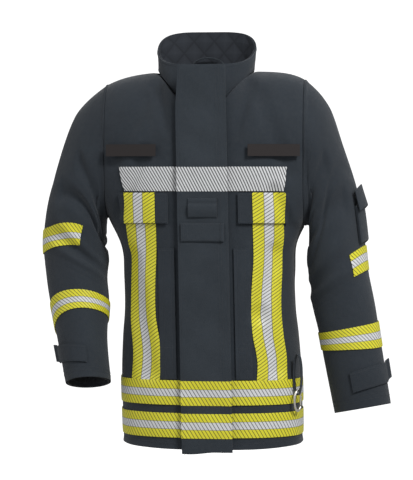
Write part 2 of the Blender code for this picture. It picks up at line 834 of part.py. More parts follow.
def carabiner(metal, cloth):
    """A drop-shaped snap hook with its gate, and the webbing loop it hangs from."""
    bends = []
    for i in range(19):
        turn = math.radians(-58 + i * (352 - 116 + 58) / 18)
        bends.append(turn)
    points = []
    for turn in bends:
        wide = 0.0115
        points.append(carabiner_place(-wide * math.sin(turn), 0.021 - 0.021 * math.cos(turn)))
    round_bar("carabiner_body", points, WIRE / 2, 6, metal)
    first = points[-1]
    last = points[0]
    gap = (last - first).normalized() * (WIRE * 0.45)
    round_bar("carabiner_gate", [first + gap, (first + last) * 0.5, last - gap], WIRE * 0.42, 6, metal)
    high = carabiner_place(0, -0.034)
    loop = []
    for i in range(12):
        turn = 2 * math.pi * i / 12
        loop.append(high + Vector((0, 0, 1)) * 0.0245 * math.cos(turn - math.pi) * 1.75
                    + CARABINER_FACE * 0.0100 * math.sin(turn))
    grids = []
    for shrink in (1.0, 0.62):
        grid = []
        for offset in (-0.004, 0.004):
            row = []
            for point in loop:
                out = point - high
                thin = CARABINER_FACE * out.dot(CARABINER_FACE) * (shrink - 1)
                tall = Vector((0, 0, 1)) * out.z * (shrink - 1) * 0.10
                row.append(point + thin + tall + CARABINER_SIDE * offset)
            grid.append(row)
        grids.append(grid)
    slab("webbing_loop", grids[0], grids[1], cloth, closed=True)


def hanger_loop(cloth):
    """The loop inside the back of the collar that the coat hangs by."""
    half = 0.035
    path = []
    for i in range(9):
        turn = math.pi * i / 8
        path.append(Vector((-half * math.cos(turn), HANGER_POINT.y,
                            HANGER_POINT.z - 0.020 + 0.020 * math.sin(turn))))
    grids = []
    for out in (0.0012, -0.0012):
        grid = []
        for y in (-0.0030, 0.0030):
            row = []
            for i, point in enumerate(path):
                turn = math.pi * i / 8
                away = Vector((-math.cos(turn), 0, math.sin(turn)))
                row.append(point + away * out + Vector((0, y, 0)))
            grid.append(row)
        grids.append(grid)
    slab("hanger_loop", grids[0], grids[1], cloth)


def build():
    clear_scene()
    cloth = make_material("shell_cloth", (0.035, 0.045, 0.056), 0.85)
    lining = make_material("liner_cloth", (0.02, 0.024, 0.032), 0.9)
    tape = make_material("yellow_tape", (0.85, 0.82, 0.05), 0.45)
    silver = make_material("silver_tape", (0.55, 0.56, 0.57), 0.4)
    strip = make_material("hook_and_loop", (0.02, 0.016, 0.016), 0.95)
    metal = make_material("steel", (0.6, 0.59, 0.57), 0.3, 1.0)
    black = make_material("zip_black", (0.01, 0.01, 0.012), 0.6)
    knit = make_material("knit", (0.015, 0.016, 0.02), 0.95)
    for side in (1, -1):
        word = NAMES[side]
        body_panel(word + "_front_shell", side, "front", 0.0, -SHELL, cloth)
        body_panel(word + "_front_liner", side, "front", -LINER_OUT, -LINER_IN, lining)
        reach = side * CHEST_BAND_REACH
        start_x = side * (FLAP_HALF_WIDTH + 0.004)
        band("chest_band_" + word, CHEST_BAND_Z, start_x, angle_at(CHEST_BAND_Z, reach), 8, silver)
        chest_pocket_flap(side, cloth, tape)
        hand_pocket(side, cloth)
        name_strip(side, strip)
        sleeve(side, cloth, lining, tape, knit)
        for name, z in (("hem_band_upper_", UPPER_HEM_BAND_Z), ("hem_band_lower_", LOWER_HEM_BAND_Z)):
            end = side * (math.pi - 0.002)
            band(name + word, z, start_x, end, 26, tape)
    back_panel("back_shell", 0.0, -SHELL, cloth)
    back_panel("back_liner", -LINER_OUT, -LINER_IN, lining)
    collar("collar_shell", 0.0, -COLLAR_THICKNESS, 0.02, cloth)
    collar("collar_lining", -COLLAR_THICKNESS - 0.0015, -COLLAR_THICKNESS - 0.0030, 0.10, lining)
    zip_and_flap(cloth, tape, silver, strip, metal, black)
    sleeve_pocket(1, cloth)
    carabiner(metal, cloth)
    hanger_loop(cloth)


build()
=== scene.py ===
# %% [markdown]
# # A turnout coat
# The coat is a cloth shell over a liner, closed by a zip under a storm flap and crossed by
# reflective tapes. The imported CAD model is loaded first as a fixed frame: it gives the places
# of the pieces and what moves with what. The cells after it dress that frame, one kind of
# piece at a time.

# %% Load the frame
import json
import math

import bmesh
import bpy
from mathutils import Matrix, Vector


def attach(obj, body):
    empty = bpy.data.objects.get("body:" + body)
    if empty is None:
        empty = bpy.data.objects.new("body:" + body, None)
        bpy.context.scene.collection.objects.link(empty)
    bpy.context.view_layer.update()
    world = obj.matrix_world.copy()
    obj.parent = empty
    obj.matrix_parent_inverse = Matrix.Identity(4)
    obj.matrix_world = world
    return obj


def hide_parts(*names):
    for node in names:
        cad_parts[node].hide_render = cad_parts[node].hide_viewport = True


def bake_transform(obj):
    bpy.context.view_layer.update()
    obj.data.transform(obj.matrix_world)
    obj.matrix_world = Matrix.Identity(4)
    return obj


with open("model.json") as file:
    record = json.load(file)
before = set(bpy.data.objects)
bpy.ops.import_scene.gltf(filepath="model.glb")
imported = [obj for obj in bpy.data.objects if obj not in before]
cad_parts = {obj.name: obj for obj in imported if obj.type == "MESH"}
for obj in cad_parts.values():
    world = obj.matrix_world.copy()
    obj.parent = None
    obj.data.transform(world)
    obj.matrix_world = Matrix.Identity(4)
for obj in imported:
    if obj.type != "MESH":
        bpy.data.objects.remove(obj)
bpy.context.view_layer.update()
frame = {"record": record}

# %% [markdown]
# ## The body's surface
# Every panel, tape and pocket lies on one smooth surface, so a single formula describes it: an
# oval at each height, closing over the shoulders. A second formula adds the soft folds. Since
# all layers read the same two formulas, a tape follows each fold of the cloth under it.

# %% Sizes of the body
HEM_Z = 0.020
YOKE_Z = 0.670
SHOULDER_Z = 0.814
SHOULDER_ARC = 0.150
NECK_HALF_WIDTH = 0.112
FRONT_NECK_RISE = 0.28
BACK_NECK_RISE = 0.62
ARM_X = 0.210
FRONT_DEPTH = 0.138
FRONT_LEAN = 0.040
BACK_DEPTH = 0.120
SIDEWAYS_LEAN = 0.016
SHOULDER_DROP = 0.045
DROP_REACH = 0.240
ROUNDING = 2.6
SHOULDER_ROUNDING = 2.2
ZIP_HALF_OPENING = 0.0080
HANGER_POINT = Vector((0.0, 0.043, 0.846))
HALF_WIDTHS = [
    (0.00, 0.190), (0.08, 0.1925), (0.17, 0.193), (0.25, 0.188), (0.31, 0.182),
    (0.38, 0.182), (0.44, 0.186), (0.50, 0.213), (0.57, 0.246), (0.67, 0.262), (0.90, 0.262),
]


def mix(a, b, t):
    return a + (b - a) * t


def smooth_step(low, high, value):
    t = min(max((value - low) / (high - low), 0.0), 1.0)
    return t * t * (3 - 2 * t)


def bump(value, middle, reach):
    """A soft hill: 1 at the middle, 0 past the reach."""
    t = min(abs(value - middle) / reach, 1.0)
    return (1 - t * t) ** 2


def smooth_through(points, at):
    """Reads a smooth curve through (position, value) pairs."""
    if at <= points[0][0]:
        return points[0][1]
    if at >= points[-1][0]:
        return points[-1][1]
    last = len(points) - 1
    index = max(i for i in range(last) if points[i][0] <= at)

    def slope(i):
        before = points[max(i - 1, 0)]
        after = points[min(i + 1, last)]
        return (after[1] - before[1]) / (after[0] - before[0])

    start = points[index]
    end = points[index + 1]
    span = end[0] - start[0]
    t = (at - start[0]) / span
    bend = slope(index) * (t ** 3 - 2 * t ** 2 + t) + slope(index + 1) * (t ** 3 - t ** 2)
    return start[1] * (2 * t ** 3 - 3 * t ** 2 + 1) + end[1] * (3 * t ** 2 - 2 * t ** 3) + bend * span


WIDTH_TABLE = [smooth_through(HALF_WIDTHS, i * 0.001) for i in range(901)]


def half_width(z):
    spot = min(max(z, 0.0), 0.8999) * 1000
    low = int(spot)
    return mix(WIDTH_TABLE[low], WIDTH_TABLE[low + 1], spot - low)


def centre_x(z):
    return SIDEWAYS_LEAN * (1 - z / YOKE_Z) if z < YOKE_Z else 0.0


def centre_line_x(z):
    return SIDEWAYS_LEAN * (1 - z / YOKE_Z)


def front_depth(z):
    return FRONT_DEPTH - FRONT_LEAN * z


def shoulder_line(x):
    power = 7 if x > 0 else 4
    return SHOULDER_Z - SHOULDER_DROP * (abs(x) / DROP_REACH) ** power


# %% The smooth surface
def body_point(angle, up):
    level = min(up, YOKE_Z)
    turn = 0.5 * math.pi * min(max((up - YOKE_Z) / SHOULDER_ARC, 0.0), 1.0)
    sine = math.sin(angle)
    cosine = math.cos(angle)
    across = abs(sine) ** (2 / ROUNDING)
    along = abs(cosine) ** (2 / ROUNDING)
    x = centre_x(level) + math.copysign(half_width(up) * across, sine)
    z = level
    fade = 1.0
    if turn > 0:
        z += (shoulder_line(x) - YOKE_Z) * math.sin(turn) ** (2 / SHOULDER_ROUNDING)
        fade = max(math.cos(turn), 0.0) ** (2 / SHOULDER_ROUNDING)
    if cosine > 0:
        keep = 1 - smooth_step(0.050, 0.095, abs(x))
        return Vector((x, -front_depth(z) * along * mix(fade, 1.0, keep), z))
    return Vector((x, BACK_DEPTH * along * fade, z))


def body_normal(angle, up):
    step = 0.004
    high = min(up + step, YOKE_Z + SHOULDER_ARC)
    round_way = body_point(angle + step, up) - body_point(angle - step, up)
    up_way = body_point(angle, high) - body_point(angle, high - 2 * step)
    return round_way.cross(up_way).normalized()


def angle_at(z, offset):
    share = min(abs(offset) / half_width(z), 1.0)
    return math.copysign(math.asin(share ** (ROUNDING / 2)), offset)


def side_angle(up, side):
    reach = ARM_X - side * centre_x(min(up, YOKE_Z))
    share = reach / half_width(up)
    return 0.5 * math.pi if share >= 1.0 else math.asin(share ** (ROUNDING / 2))


def angle_after(z, start, distance):
    angle = start
    way = math.copysign(0.01, distance)
    walked = 0.0
    here = body_point(angle, z)
    for _ in range(900):
        following = body_point(angle + way, z)
        length = (following - here).length
        if walked + length > abs(distance):
            return angle + way * (abs(distance) - walked) / length
        walked += length
        here = following
        angle += way
    return angle


print("hem half width", round(half_width(HEM_Z), 4), "m")

# %% [markdown]
# ## Folds
# Heavy coat cloth hangs in broad, shallow folds. Each fold is a soft hill or hollow along a
# line. Their depth is a few millimetres, and they fade to nothing beside the flap, the seams
# and the armholes so that the layers there still meet.

# %% Fold depth on the body
FOLD_STRENGTH = 1.8
BODY_FOLDS = [
    # x and z at both ends, half width, depth (minus is a hollow)
    (-0.150, 0.420, -0.110, 0.180, 0.030, -0.0030),
    (0.150, 0.430, 0.125, 0.300, 0.028, -0.0035),
    (0.125, 0.300, 0.160, 0.190, 0.030, -0.0035),
    (-0.175, 0.520, -0.120, 0.640, 0.022, -0.0030),
    (0.185, 0.480, 0.150, 0.560, 0.020, -0.0035),
    (0.120, 0.760, 0.180, 0.600, 0.026, -0.0025),
    (-0.120, 0.750, -0.190, 0.620, 0.026, -0.0025),
    (0.100, 0.780, 0.070, 0.690, 0.020, -0.0030),
    (-0.100, 0.780, -0.070, 0.690, 0.020, -0.0030),
]


def line_hill(x, z, fold):
    """How near a point is to a fold's line: 1 on it, 0 past its width."""
    x0, z0, x1, z1, reach, _ = fold
    dx = x1 - x0
    dz = z1 - z0
    t = min(max(((x - x0) * dx + (z - z0) * dz) / (dx * dx + dz * dz), 0.0), 1.0)
    away = math.hypot(x - x0 - dx * t, z - z0 - dz * t)
    if away > reach:
        return 0.0
    return (1 - (away / reach) ** 2) ** 2


def body_fold(angle, up):
    point = body_point(angle, up)
    depth = 0.0
    if point.y < 0:
        for fold in BODY_FOLDS:
            depth += FOLD_STRENGTH * fold[5] * line_hill(point.x, point.z, fold)
        depth -= 0.0008 * math.sin(angle * 9 + point.z * 14) * smooth_step(0.07, 0.12, abs(point.x))
    else:
        depth += 0.0030 * math.sin(angle * 7.0 + 3.0 * point.z) * bump(point.z, 0.30, 0.34)
        depth -= 0.0030 * line_hill(abs(point.x), point.z, (0.19, 0.52, 0.06, 0.60, 0.035, 0))
        depth += 0.0012 * math.sin(point.z * 60 + angle * 5) * bump(point.z, 0.42, 0.12)
    quiet = smooth_step(0.055, 0.090, abs(point.x)) if point.y < 0 else 1.0
    edge = smooth_step(0.0, 0.10, side_angle(up, math.copysign(1, point.x)) - turned(angle))
    top = 1 - smooth_step(YOKE_Z + 0.09, YOKE_Z + SHOULDER_ARC, up)
    return depth * quiet * mix(0.3, 1.0, edge) * top


def turned(angle):
    """The angle away from the front or back middle, whichever is nearer."""
    angle = abs((angle + math.pi) % (2 * math.pi) - math.pi)
    return min(angle, math.pi - angle)


def body_at(angle, up, lift):
    return body_point(angle, up) + body_normal(angle, up) * (lift + body_fold(angle, up))


def front_place(x, z, lift):
    """A point beside the straight front line, a distance out from it."""
    lean = math.atan(FRONT_LEAN)
    line = Vector((centre_line_x(z) + x, -front_depth(z), z))
    return line + Vector((0, -math.cos(lean), -math.sin(lean))) * lift


print("folds on the fronts:", len(BODY_FOLDS))

# %% [markdown]
# ## The sleeves' surface
# A sleeve is a row of ovals from the armhole to the cuff. Each oval is given by its outer and
# inner end, its half depth and how far forward it sits, so that the elbow's natural bend is in
# the ovals. The folds at the elbow and under the arm are hills and hollows along rings.

# %% Sleeve sizes
ARM_GAP = 0.0006
ELBOW_SHARE = 0.60
UNDERARM_EASE = 0.0100
LEFT_RINGS = [
    # share, outer x, outer z, inner x, inner z, half depth, y of the middle
    (0.00, 0.2110, 0.796, 0.2110, 0.500, 0.080, 0.000),
    (0.12, 0.256, 0.752, 0.2160, 0.474, 0.082, 0.000),
    (0.25, 0.292, 0.660, 0.2150, 0.432, 0.077, -0.002),
    (0.38, 0.322, 0.555, 0.2160, 0.390, 0.072, -0.004),
    (0.50, 0.340, 0.440, 0.2230, 0.345, 0.068, -0.006),
    (0.66, 0.356, 0.345, 0.2370, 0.280, 0.063, -0.010),
    (0.82, 0.371, 0.255, 0.2520, 0.205, 0.060, -0.016),
    (1.00, 0.395, 0.110, 0.2760, 0.088, 0.056, -0.028),
]
RIGHT_RINGS = [
    (0.00, 0.2110, 0.788, 0.2110, 0.500, 0.080, 0.000),
    (0.12, 0.268, 0.742, 0.2150, 0.466, 0.080, 0.000),
    (0.25, 0.305, 0.668, 0.2115, 0.440, 0.077, -0.002),
    (0.38, 0.333, 0.575, 0.2110, 0.410, 0.072, -0.006),
    (0.50, 0.348, 0.470, 0.2105, 0.375, 0.068, -0.010),
    (0.66, 0.344, 0.375, 0.2080, 0.320, 0.063, -0.024),
    (0.82, 0.323, 0.280, 0.2080, 0.245, 0.060, -0.045),
    (1.00, 0.292, 0.150, 0.1960, 0.158, 0.054, -0.080),
]
NAMES = {1: "left", -1: "right"}
RING_CACHE = {}


def ring_values(side, share):
    key = (side, round(share, 5))
    if key not in RING_CACHE:
        rings = LEFT_RINGS if side > 0 else RIGHT_RINGS
        columns = [[(row[0], row[i]) for row in rings] for i in range(1, 7)]
        RING_CACHE[key] = [smooth_through(column, share) for column in columns]
    return RING_CACHE[key]


def sleeve_middle(side, share):
    outer_x, outer_z, inner_x, inner_z, _, y = ring_values(side, share)
    return Vector((side * 0.5 * (outer_x + inner_x), y, 0.5 * (outer_z + inner_z)))


def armhole_edge(side):
    """The body's armhole edge as (angle from the top, distance) pairs round its middle."""
    middle = sleeve_middle(side, 0.0)
    pairs = []
    count = 60
    for facing in (0, 1):
        for i in range(count + 1):
            up = mix(0.48, YOKE_Z + SHOULDER_ARC, i / count)
            turn = side_angle(up, side)
            if turn >= 0.5 * math.pi:
                continue
            point = body_point(side * turn if facing == 0 else math.pi - side * turn, up)
            out = Vector((point.y - middle.y, point.z - middle.z))
            pairs.append((math.atan2(-out.x, out.y) % (2 * math.pi), out.length))
    pairs.sort()
    wrap = 2 * math.pi
    return [(pairs[-1][0] - wrap, pairs[-1][1])] + pairs + [(pairs[0][0] + wrap, pairs[0][1])]


def edge_table(side):
    pairs = armhole_edge(side)
    table = []
    for i in range(721):
        theta = 2 * math.pi * i / 720
        for before, after in zip(pairs, pairs[1:]):
            if before[0] <= theta <= after[0]:
                t = (theta - before[0]) / max(after[0] - before[0], 1e-9)
                table.append(mix(before[1], after[1], t))
                break
        else:
            table.append(pairs[0][1])
    return table


EDGES = {side: edge_table(side) for side in (1, -1)}


# %% The sleeve surface and its folds
CREASE_STRENGTH = 1.5
PIT_DEPTH = 0.0045
PIT_STRETCH = 4
PIT_CREASES = [(1.2, 0.85, 2.7, 0.35, 0.22, 0), (0.9, 1.45, 2.6, 0.95, 0.20, 0)]


def sleeve_point(side, share, theta):
    outer_x, outer_z, inner_x, inner_z, depth, y = ring_values(side, share)
    outer = Vector((side * outer_x, y, outer_z))
    inner = Vector((side * inner_x, y, inner_z))
    middle = (outer + inner) * 0.5
    half = (outer - inner) * 0.5
    path = sleeve_middle(side, min(share + 0.02, 1.0)) - sleeve_middle(side, max(share - 0.02, 0.0))
    front = half.cross(path).normalized()
    if front.y > 0:
        front = -front
    oval = middle + half * math.cos(theta) + front * depth * math.sin(theta)
    if share > 0.40:
        return oval
    spot = (theta % (2 * math.pi)) / (2 * math.pi) * 720
    low = int(spot) % 720
    distance = mix(EDGES[side][low], EDGES[side][low + 1], spot - int(spot))
    edge = sleeve_middle(side, 0.0) + Vector((0, -math.sin(theta), math.cos(theta))) * distance
    point = oval.lerp(edge, 1 - smooth_step(0.0, 0.16, share))
    least = ARM_X + 0.001 + UNDERARM_EASE * smooth_step(0.0, 0.09, share)
    if abs(point.x) < least:
        point.x = side * mix(least, abs(point.x), smooth_step(0.16, 0.40, share))
    return point


def sleeve_fold(side, share, theta):
    """Creases: rings round the inside of the elbow, slanting ones down from the shoulder."""
    front = math.sin(theta)
    inner = -math.cos(theta)
    crook = max(front, 0) ** 2 if side < 0 else max(0.6 * front + 0.4 * inner, 0)
    depth = -0.0040 * crook * bump(share, 0.485, 0.05)
    depth += 0.0022 * crook * bump(share, 0.44, 0.035)
    depth += 0.0022 * crook * bump(share, 0.535, 0.035)
    slant = share + 0.10 * front * inner
    depth -= 0.0040 * max(inner, 0) * bump(slant, 0.25, 0.035)
    depth -= 0.0030 * max(inner, 0) * bump(slant, 0.17, 0.03)
    depth += 0.0016 * math.sin(theta * 3 + share * 17 + side) * bump(share, 0.45, 0.40)
    depth -= 0.0030 * bump(share - 0.06 * math.cos(theta * 2 + side), 0.33, 0.030) * max(front, 0)
    for crease in PIT_CREASES:
        depth -= PIT_DEPTH * line_hill(theta, share * PIT_STRETCH, crease)
    return CREASE_STRENGTH * depth * smooth_step(0.04, 0.14, share) * (1 - smooth_step(0.86, 0.93, share))


def sleeve_at(side, share, theta, lift):
    step = mix(0.08, 0.01, smooth_step(0.0, 0.15, share))
    low = max(share - step, 0.0)
    high = min(share + step, 1.0)
    along = sleeve_point(side, high, theta) - sleeve_point(side, low, theta)
    around = sleeve_point(side, share, theta + 0.05) - sleeve_point(side, share, theta - 0.05)
    normal = around.cross(along).normalized() * side
    point = sleeve_point(side, share, theta) + normal * (lift + sleeve_fold(side, share, theta))
    if share == 0.0:
        point.x = side * max(abs(point.x), ARM_X + ARM_GAP)
    return point


print("sleeve rings:", len(LEFT_RINGS), "and", len(RIGHT_RINGS))

# %% [markdown]
# ## From grids to meshes
# Each cloth piece is a grid of points, a real thickness in from it, and the edges joined. Its
# UV map is laid out in metres, so that a weave or a tape's pattern has its true size and
# follows the cloth round every bend.


# %% Make a closed cloth piece from a grid
ROUND_EDGE = 0.15


def add_object(name, data):
    item = bpy.data.objects.new(name, data)
    bpy.context.scene.collection.objects.link(item)
    return item


def fractions(count):
    return [i / count for i in range(count + 1)]


def slab(name, at, u_count, v_count, high, low, material, closed=False):
    """at(u, v, lift) gives a point. The piece fills the space between two lifts."""
    columns = u_count if closed else u_count + 1
    us = [i / u_count for i in range(columns)]
    vs = fractions(v_count)
    points = []
    for lift in (high, low):
        for j, v in enumerate(vs):
            for i, u in enumerate(us):
                rim = j in (0, v_count) or (not closed and i in (0, u_count))
                shrink = ROUND_EDGE * (high - low) * (1 if lift == low else -1) if rim else 0.0
                points.append(at(u, v, lift + shrink) - HANGER_POINT)
    layer = columns * (v_count + 1)
    faces = []
    spans = u_count
    for j in range(v_count):
        for i in range(spans):
            a = j * columns + i
            b = j * columns + (i + 1) % columns
            c = (j + 1) * columns + (i + 1) % columns
            d = (j + 1) * columns + i
            faces.append((a, b, c, d))
            faces.append((layer + d, layer + c, layer + b, layer + a))
    for i in range(spans):
        a, b = i, (i + 1) % columns
        c, d = v_count * columns + i, v_count * columns + (i + 1) % columns
        faces.append((b, a, layer + a, layer + b))
        faces.append((c, d, layer + d, layer + c))
    if not closed:
        for j in range(v_count):
            a, b = j * columns, (j + 1) * columns
            c, d = a + columns - 1, b + columns - 1
            faces.append((a, b, layer + b, layer + a))
            faces.append((d, c, layer + c, layer + d))
    mesh = bpy.data.meshes.new(name)
    mesh.from_pydata([tuple(p) for p in points], [], faces)
    shaped = bmesh.new()
    shaped.from_mesh(mesh)
    bmesh.ops.recalc_face_normals(shaped, faces=shaped.faces)
    shaped.to_mesh(mesh)
    shaped.free()
    lay_out(mesh, points, columns, v_count + 1, closed)
    mesh.materials.append(material)
    mesh.shade_smooth()
    mesh.set_sharp_from_angle(angle=math.radians(55))
    return add_object(name, mesh)


def lay_out(mesh, points, columns, rows, closed):
    """UVs in metres: along the middle row, and up the first column."""
    middle = rows // 2 * columns
    run = [0.0]
    for i in range(1, columns + (1 if closed else 0)):
        run.append(run[-1] + (points[middle + i % columns] - points[middle + i - 1]).length)
    rise = [0.0]
    for j in range(1, rows):
        rise.append(rise[-1] + (points[j * columns] - points[(j - 1) * columns]).length)
    layer = mesh.uv_layers.new(name="cloth")
    count = columns * rows
    for polygon in mesh.polygons:
        spots = [mesh.loops[i].vertex_index % count for i in polygon.loop_indices]
        wraps = closed and any(s % columns == columns - 1 for s in spots)
        for loop_index, spot in zip(polygon.loop_indices, spots):
            column = spot % columns
            along = run[-1] if wraps and column == 0 else run[column]
            layer.data[loop_index].uv = (along, rise[spot // columns])


print("grid builder ready")

# %% [markdown]
# ## Shader maths as expressions
# A material is a small drawing in numbers. The class below wraps a node's output so that the
# drawing can be written as arithmetic, and one method makes any other node.


# %% The expression class
class Shade:
    """A material being built: it makes nodes and joins them."""

    def __init__(self, name):
        self.material = bpy.data.materials.new(name)
        self.material.use_nodes = True
        self.tree = self.material.node_tree
        self.shader = self.tree.nodes["Principled BSDF"]

    def node(self, kind, settings=None, inputs=None, output=0):
        made = self.tree.nodes.new(kind)
        for key, value in (settings or {}).items():
            setattr(made, key, value)
        for key, value in (inputs or {}).items():
            self.feed(made.inputs[key], value)
        return Value(self, made.outputs[output])

    def feed(self, socket, value):
        if isinstance(value, Value):
            self.tree.links.new(value.socket, socket)
        else:
            socket.default_value = value

    def uv(self):
        place = self.node("ShaderNodeUVMap", {"uv_map": "cloth"})
        split = self.tree.nodes.new("ShaderNodeSeparateXYZ")
        self.feed(split.inputs[0], place)
        return Value(self, split.outputs[0]), Value(self, split.outputs[1])

    def place(self):
        return self.node("ShaderNodeTexCoord", output="Object")

    def noise(self, scale, detail=3.0, rough=0.55):
        inputs = {"Scale": scale, "Detail": detail, "Roughness": rough, "Vector": self.place()}
        return self.node("ShaderNodeTexNoise", {}, inputs, "Fac")

    def blend(self, factor, first, second):
        made = self.tree.nodes.new("ShaderNodeMix")
        made.data_type = "RGBA"
        self.feed(made.inputs[0], factor)
        self.feed(made.inputs[6], first)
        self.feed(made.inputs[7], second)
        return Value(self, made.outputs[2])

    def finish(self, colour, roughness, height=None, strength=0.5, distance=0.001, **constants):
        self.feed(self.shader.inputs["Base Color"], colour)
        self.feed(self.shader.inputs["Roughness"], roughness)
        for key, value in constants.items():
            self.shader.inputs[key.replace("_", " ")].default_value = value
        if height is not None:
            made = self.node("ShaderNodeBump", {}, {"Strength": strength, "Distance": distance,
                                                    "Height": height}, "Normal")
            self.feed(self.shader.inputs["Normal"], made)
        return self.material


class Value:
    """A number in a material. Arithmetic on it adds Math nodes."""

    def __init__(self, shade, socket):
        self.shade = shade
        self.socket = socket

    def math(self, operation, *others):
        inputs = {i: v for i, v in enumerate((self, *others))}
        return self.shade.node("ShaderNodeMath", {"operation": operation}, inputs)

    def __add__(self, other):
        return self.math("ADD", other)

    def __sub__(self, other):
        return self.math("SUBTRACT", other)

    def __mul__(self, other):
        return self.math("MULTIPLY", other)

    def __truediv__(self, other):
        return self.math("DIVIDE", other)

    def __rsub__(self, other):
        flipped = self.math("MULTIPLY", -1.0)
        return flipped.math("ADD", other)

    __radd__ = __add__
    __rmul__ = __mul__

    def sine(self):
        return self.math("SINE")

    def fraction(self):
        return self.math("FRACT")

    def above(self, limit):
        return self.math("GREATER_THAN", limit)

    def least(self, other):
        return self.math("MINIMUM", other)

    def most(self, other):
        return self.math("MAXIMUM", other)

    def range(self, low, high):
        """0 at low, 1 at high, smoothly."""
        made = self.shade.tree.nodes.new("ShaderNodeMapRange")
        made.interpolation_type = "SMOOTHSTEP"
        self.shade.feed(made.inputs["Value"], self)
        made.inputs["From Min"].default_value = low
        made.inputs["From Max"].default_value = high
        return Value(self.shade, made.outputs[0])


print("shader helpers ready")

# %% [markdown]
# ## The finishes
# The shell is a matt aramid twill: fine slanted ribs, a little lint and slightly paler
# rubbed places, with painted light on the rib crowns and painted shade in the weave's
# hollows. The tapes are woven ribbons with a retroreflective middle, crossed by dark
# slanted gaps that let heat out. Hook-and-loop is fleecy, the zip is moulded plastic, the
# hardware is worn steel.

# %% Cloth finishes
NAVY = (0.0095, 0.0155, 0.0235, 1)
NAVY_RUBBED_AND_RIB_LIGHT = (0.0210, 0.0310, 0.0430, 1)
NAVY_WEAVE_SHADE = (0.005, 0.0075, 0.011, 1)
THREAD = (0.012, 0.016, 0.022, 1)
TWILL_PITCH = 0.0011


def twill(name, base, rubbed_and_rib_light, weave_shade):
    shade = Shade(name)
    u, v = shade.uv()
    ribs = ((u + v) * (2 * math.pi / TWILL_PITCH)).sine() * 0.5 + 0.5
    threads = ((u - v * 0.35) * (2 * math.pi / (TWILL_PITCH * 0.62))).sine() * 0.5 + 0.5
    cloud = shade.noise(7.0, 4.0, 0.6).range(0.35, 0.72)
    mottle = shade.noise(140.0, 3.0, 0.7).range(0.3, 0.75)
    lint = shade.noise(900.0, 2.0, 0.5).range(0.70, 0.78)
    # Paler in random rubbed patches and, as painted light, on the raised crowns of the ribs.
    colour = shade.blend(cloud * 0.45 + mottle * 0.20 + ribs * 0.16, base, rubbed_and_rib_light)
    # Painted shade: the weave's hollows, where ribs and threads are both low, are darkened.
    colour = shade.blend((1 - ribs) * (1 - threads) * 0.55, colour, weave_shade)
    colour = shade.blend(lint * 0.12, colour, (0.08, 0.092, 0.105, 1))
    rough = 0.80 + mottle * 0.12
    crumple = shade.noise(38.0, 4.0, 0.6) + shade.noise(15.0, 3.0, 0.6) * 2.2
    height = ribs * 0.35 + threads * 0.15 + crumple * 3.2 + mottle * 0.4
    return shade.finish(colour, rough, height, 0.45, 0.0009, Sheen_Weight=0.10, Sheen_Roughness=0.55)


shell_cloth = twill("shell_twill", NAVY, NAVY_RUBBED_AND_RIB_LIGHT, NAVY_WEAVE_SHADE)
flap_cloth = twill("flap_twill", (0.0130, 0.0205, 0.0290, 1), (0.0270, 0.0375, 0.0500, 1), NAVY_WEAVE_SHADE)


def liner_finish():
    """Quilted liner: soft diamonds held by stitched lines."""
    shade = Shade("quilted_liner")
    u, v = shade.uv()
    pitch = 0.045
    one = ((u + v) / pitch).fraction() - 0.5
    two = ((u - v) / pitch).fraction() - 0.5
    ridge = one.math("ABSOLUTE").math("MINIMUM", two.math("ABSOLUTE"))
    stitched_valley_shade = 1 - ridge.range(0.0, 0.10)
    weave = shade.noise(600.0, 2.0)
    # Painted light and shade: each diamond is lighter on its puffed middle and darker towards the stitched
    # lines.
    colour = shade.blend(weave * 0.5 + ridge, (0.010, 0.013, 0.019, 1), (0.024, 0.029, 0.038, 1))
    # Painted shade: a band a few millimetres wide along each stitched line is darkened further.
    colour = shade.blend(stitched_valley_shade * 0.5, colour, (0.006, 0.008, 0.012, 1))
    return shade.finish(colour, 0.85 + weave * 0.1, ridge * 3.0 + weave * 0.2, 0.6, 0.002)


def fleece_finish():
    shade = Shade("hook_and_loop")
    fuzz = shade.noise(1400.0, 3.0, 0.7)
    patch = shade.noise(60.0, 2.0)
    colour = shade.blend(fuzz * 0.8 + patch * 0.2, (0.006, 0.005, 0.005, 1), (0.030, 0.025, 0.024, 1))
    return shade.finish(colour, 0.95, fuzz * 1.5 + patch * 0.3, 0.8, 0.0012, Sheen_Weight=0.5)


def knit_finish():
    shade = Shade("knit_cuff")
    u, v = shade.uv()
    ribs = (u * (2 * math.pi / 0.004)).sine() * 0.5 + 0.5
    loops = (v * (2 * math.pi / 0.002)).sine() * 0.5 + 0.5
    # Painted light and shade: the raised ribs and loops are lighter, the hollows between them darker.
    colour = shade.blend(ribs * 0.7 + loops * 0.3, (0.006, 0.007, 0.010, 1), (0.028, 0.031, 0.038, 1))
    return shade.finish(colour, 0.92, ribs * 2 + loops * 0.5, 0.7, 0.0012)


liner_cloth = liner_finish()
fleece = fleece_finish()
knit = knit_finish()
print("cloth finishes:", [m.name for m in (shell_cloth, flap_cloth, liner_cloth, fleece, knit)])

# %% [markdown]
# ## The tapes
# One drawing serves every yellow tape. Across the tape run three ribbons: yellow, silver,
# yellow. Dark thin lines slant across all three. Only the slant and the pitch differ between
# the upright tapes and the level ones, and the chest tape is silver throughout.

# %% Tape finishes
YELLOW = (0.80, 0.76, 0.035, 1)
YELLOW_SHADE = (0.60, 0.54, 0.018, 1)
SILVER = (0.58, 0.59, 0.60, 1)
SILVER_BRIGHT = (0.76, 0.77, 0.78, 1)
GAP_OLIVE = (0.050, 0.050, 0.014, 1)
GAP_GREY = (0.022, 0.025, 0.030, 1)


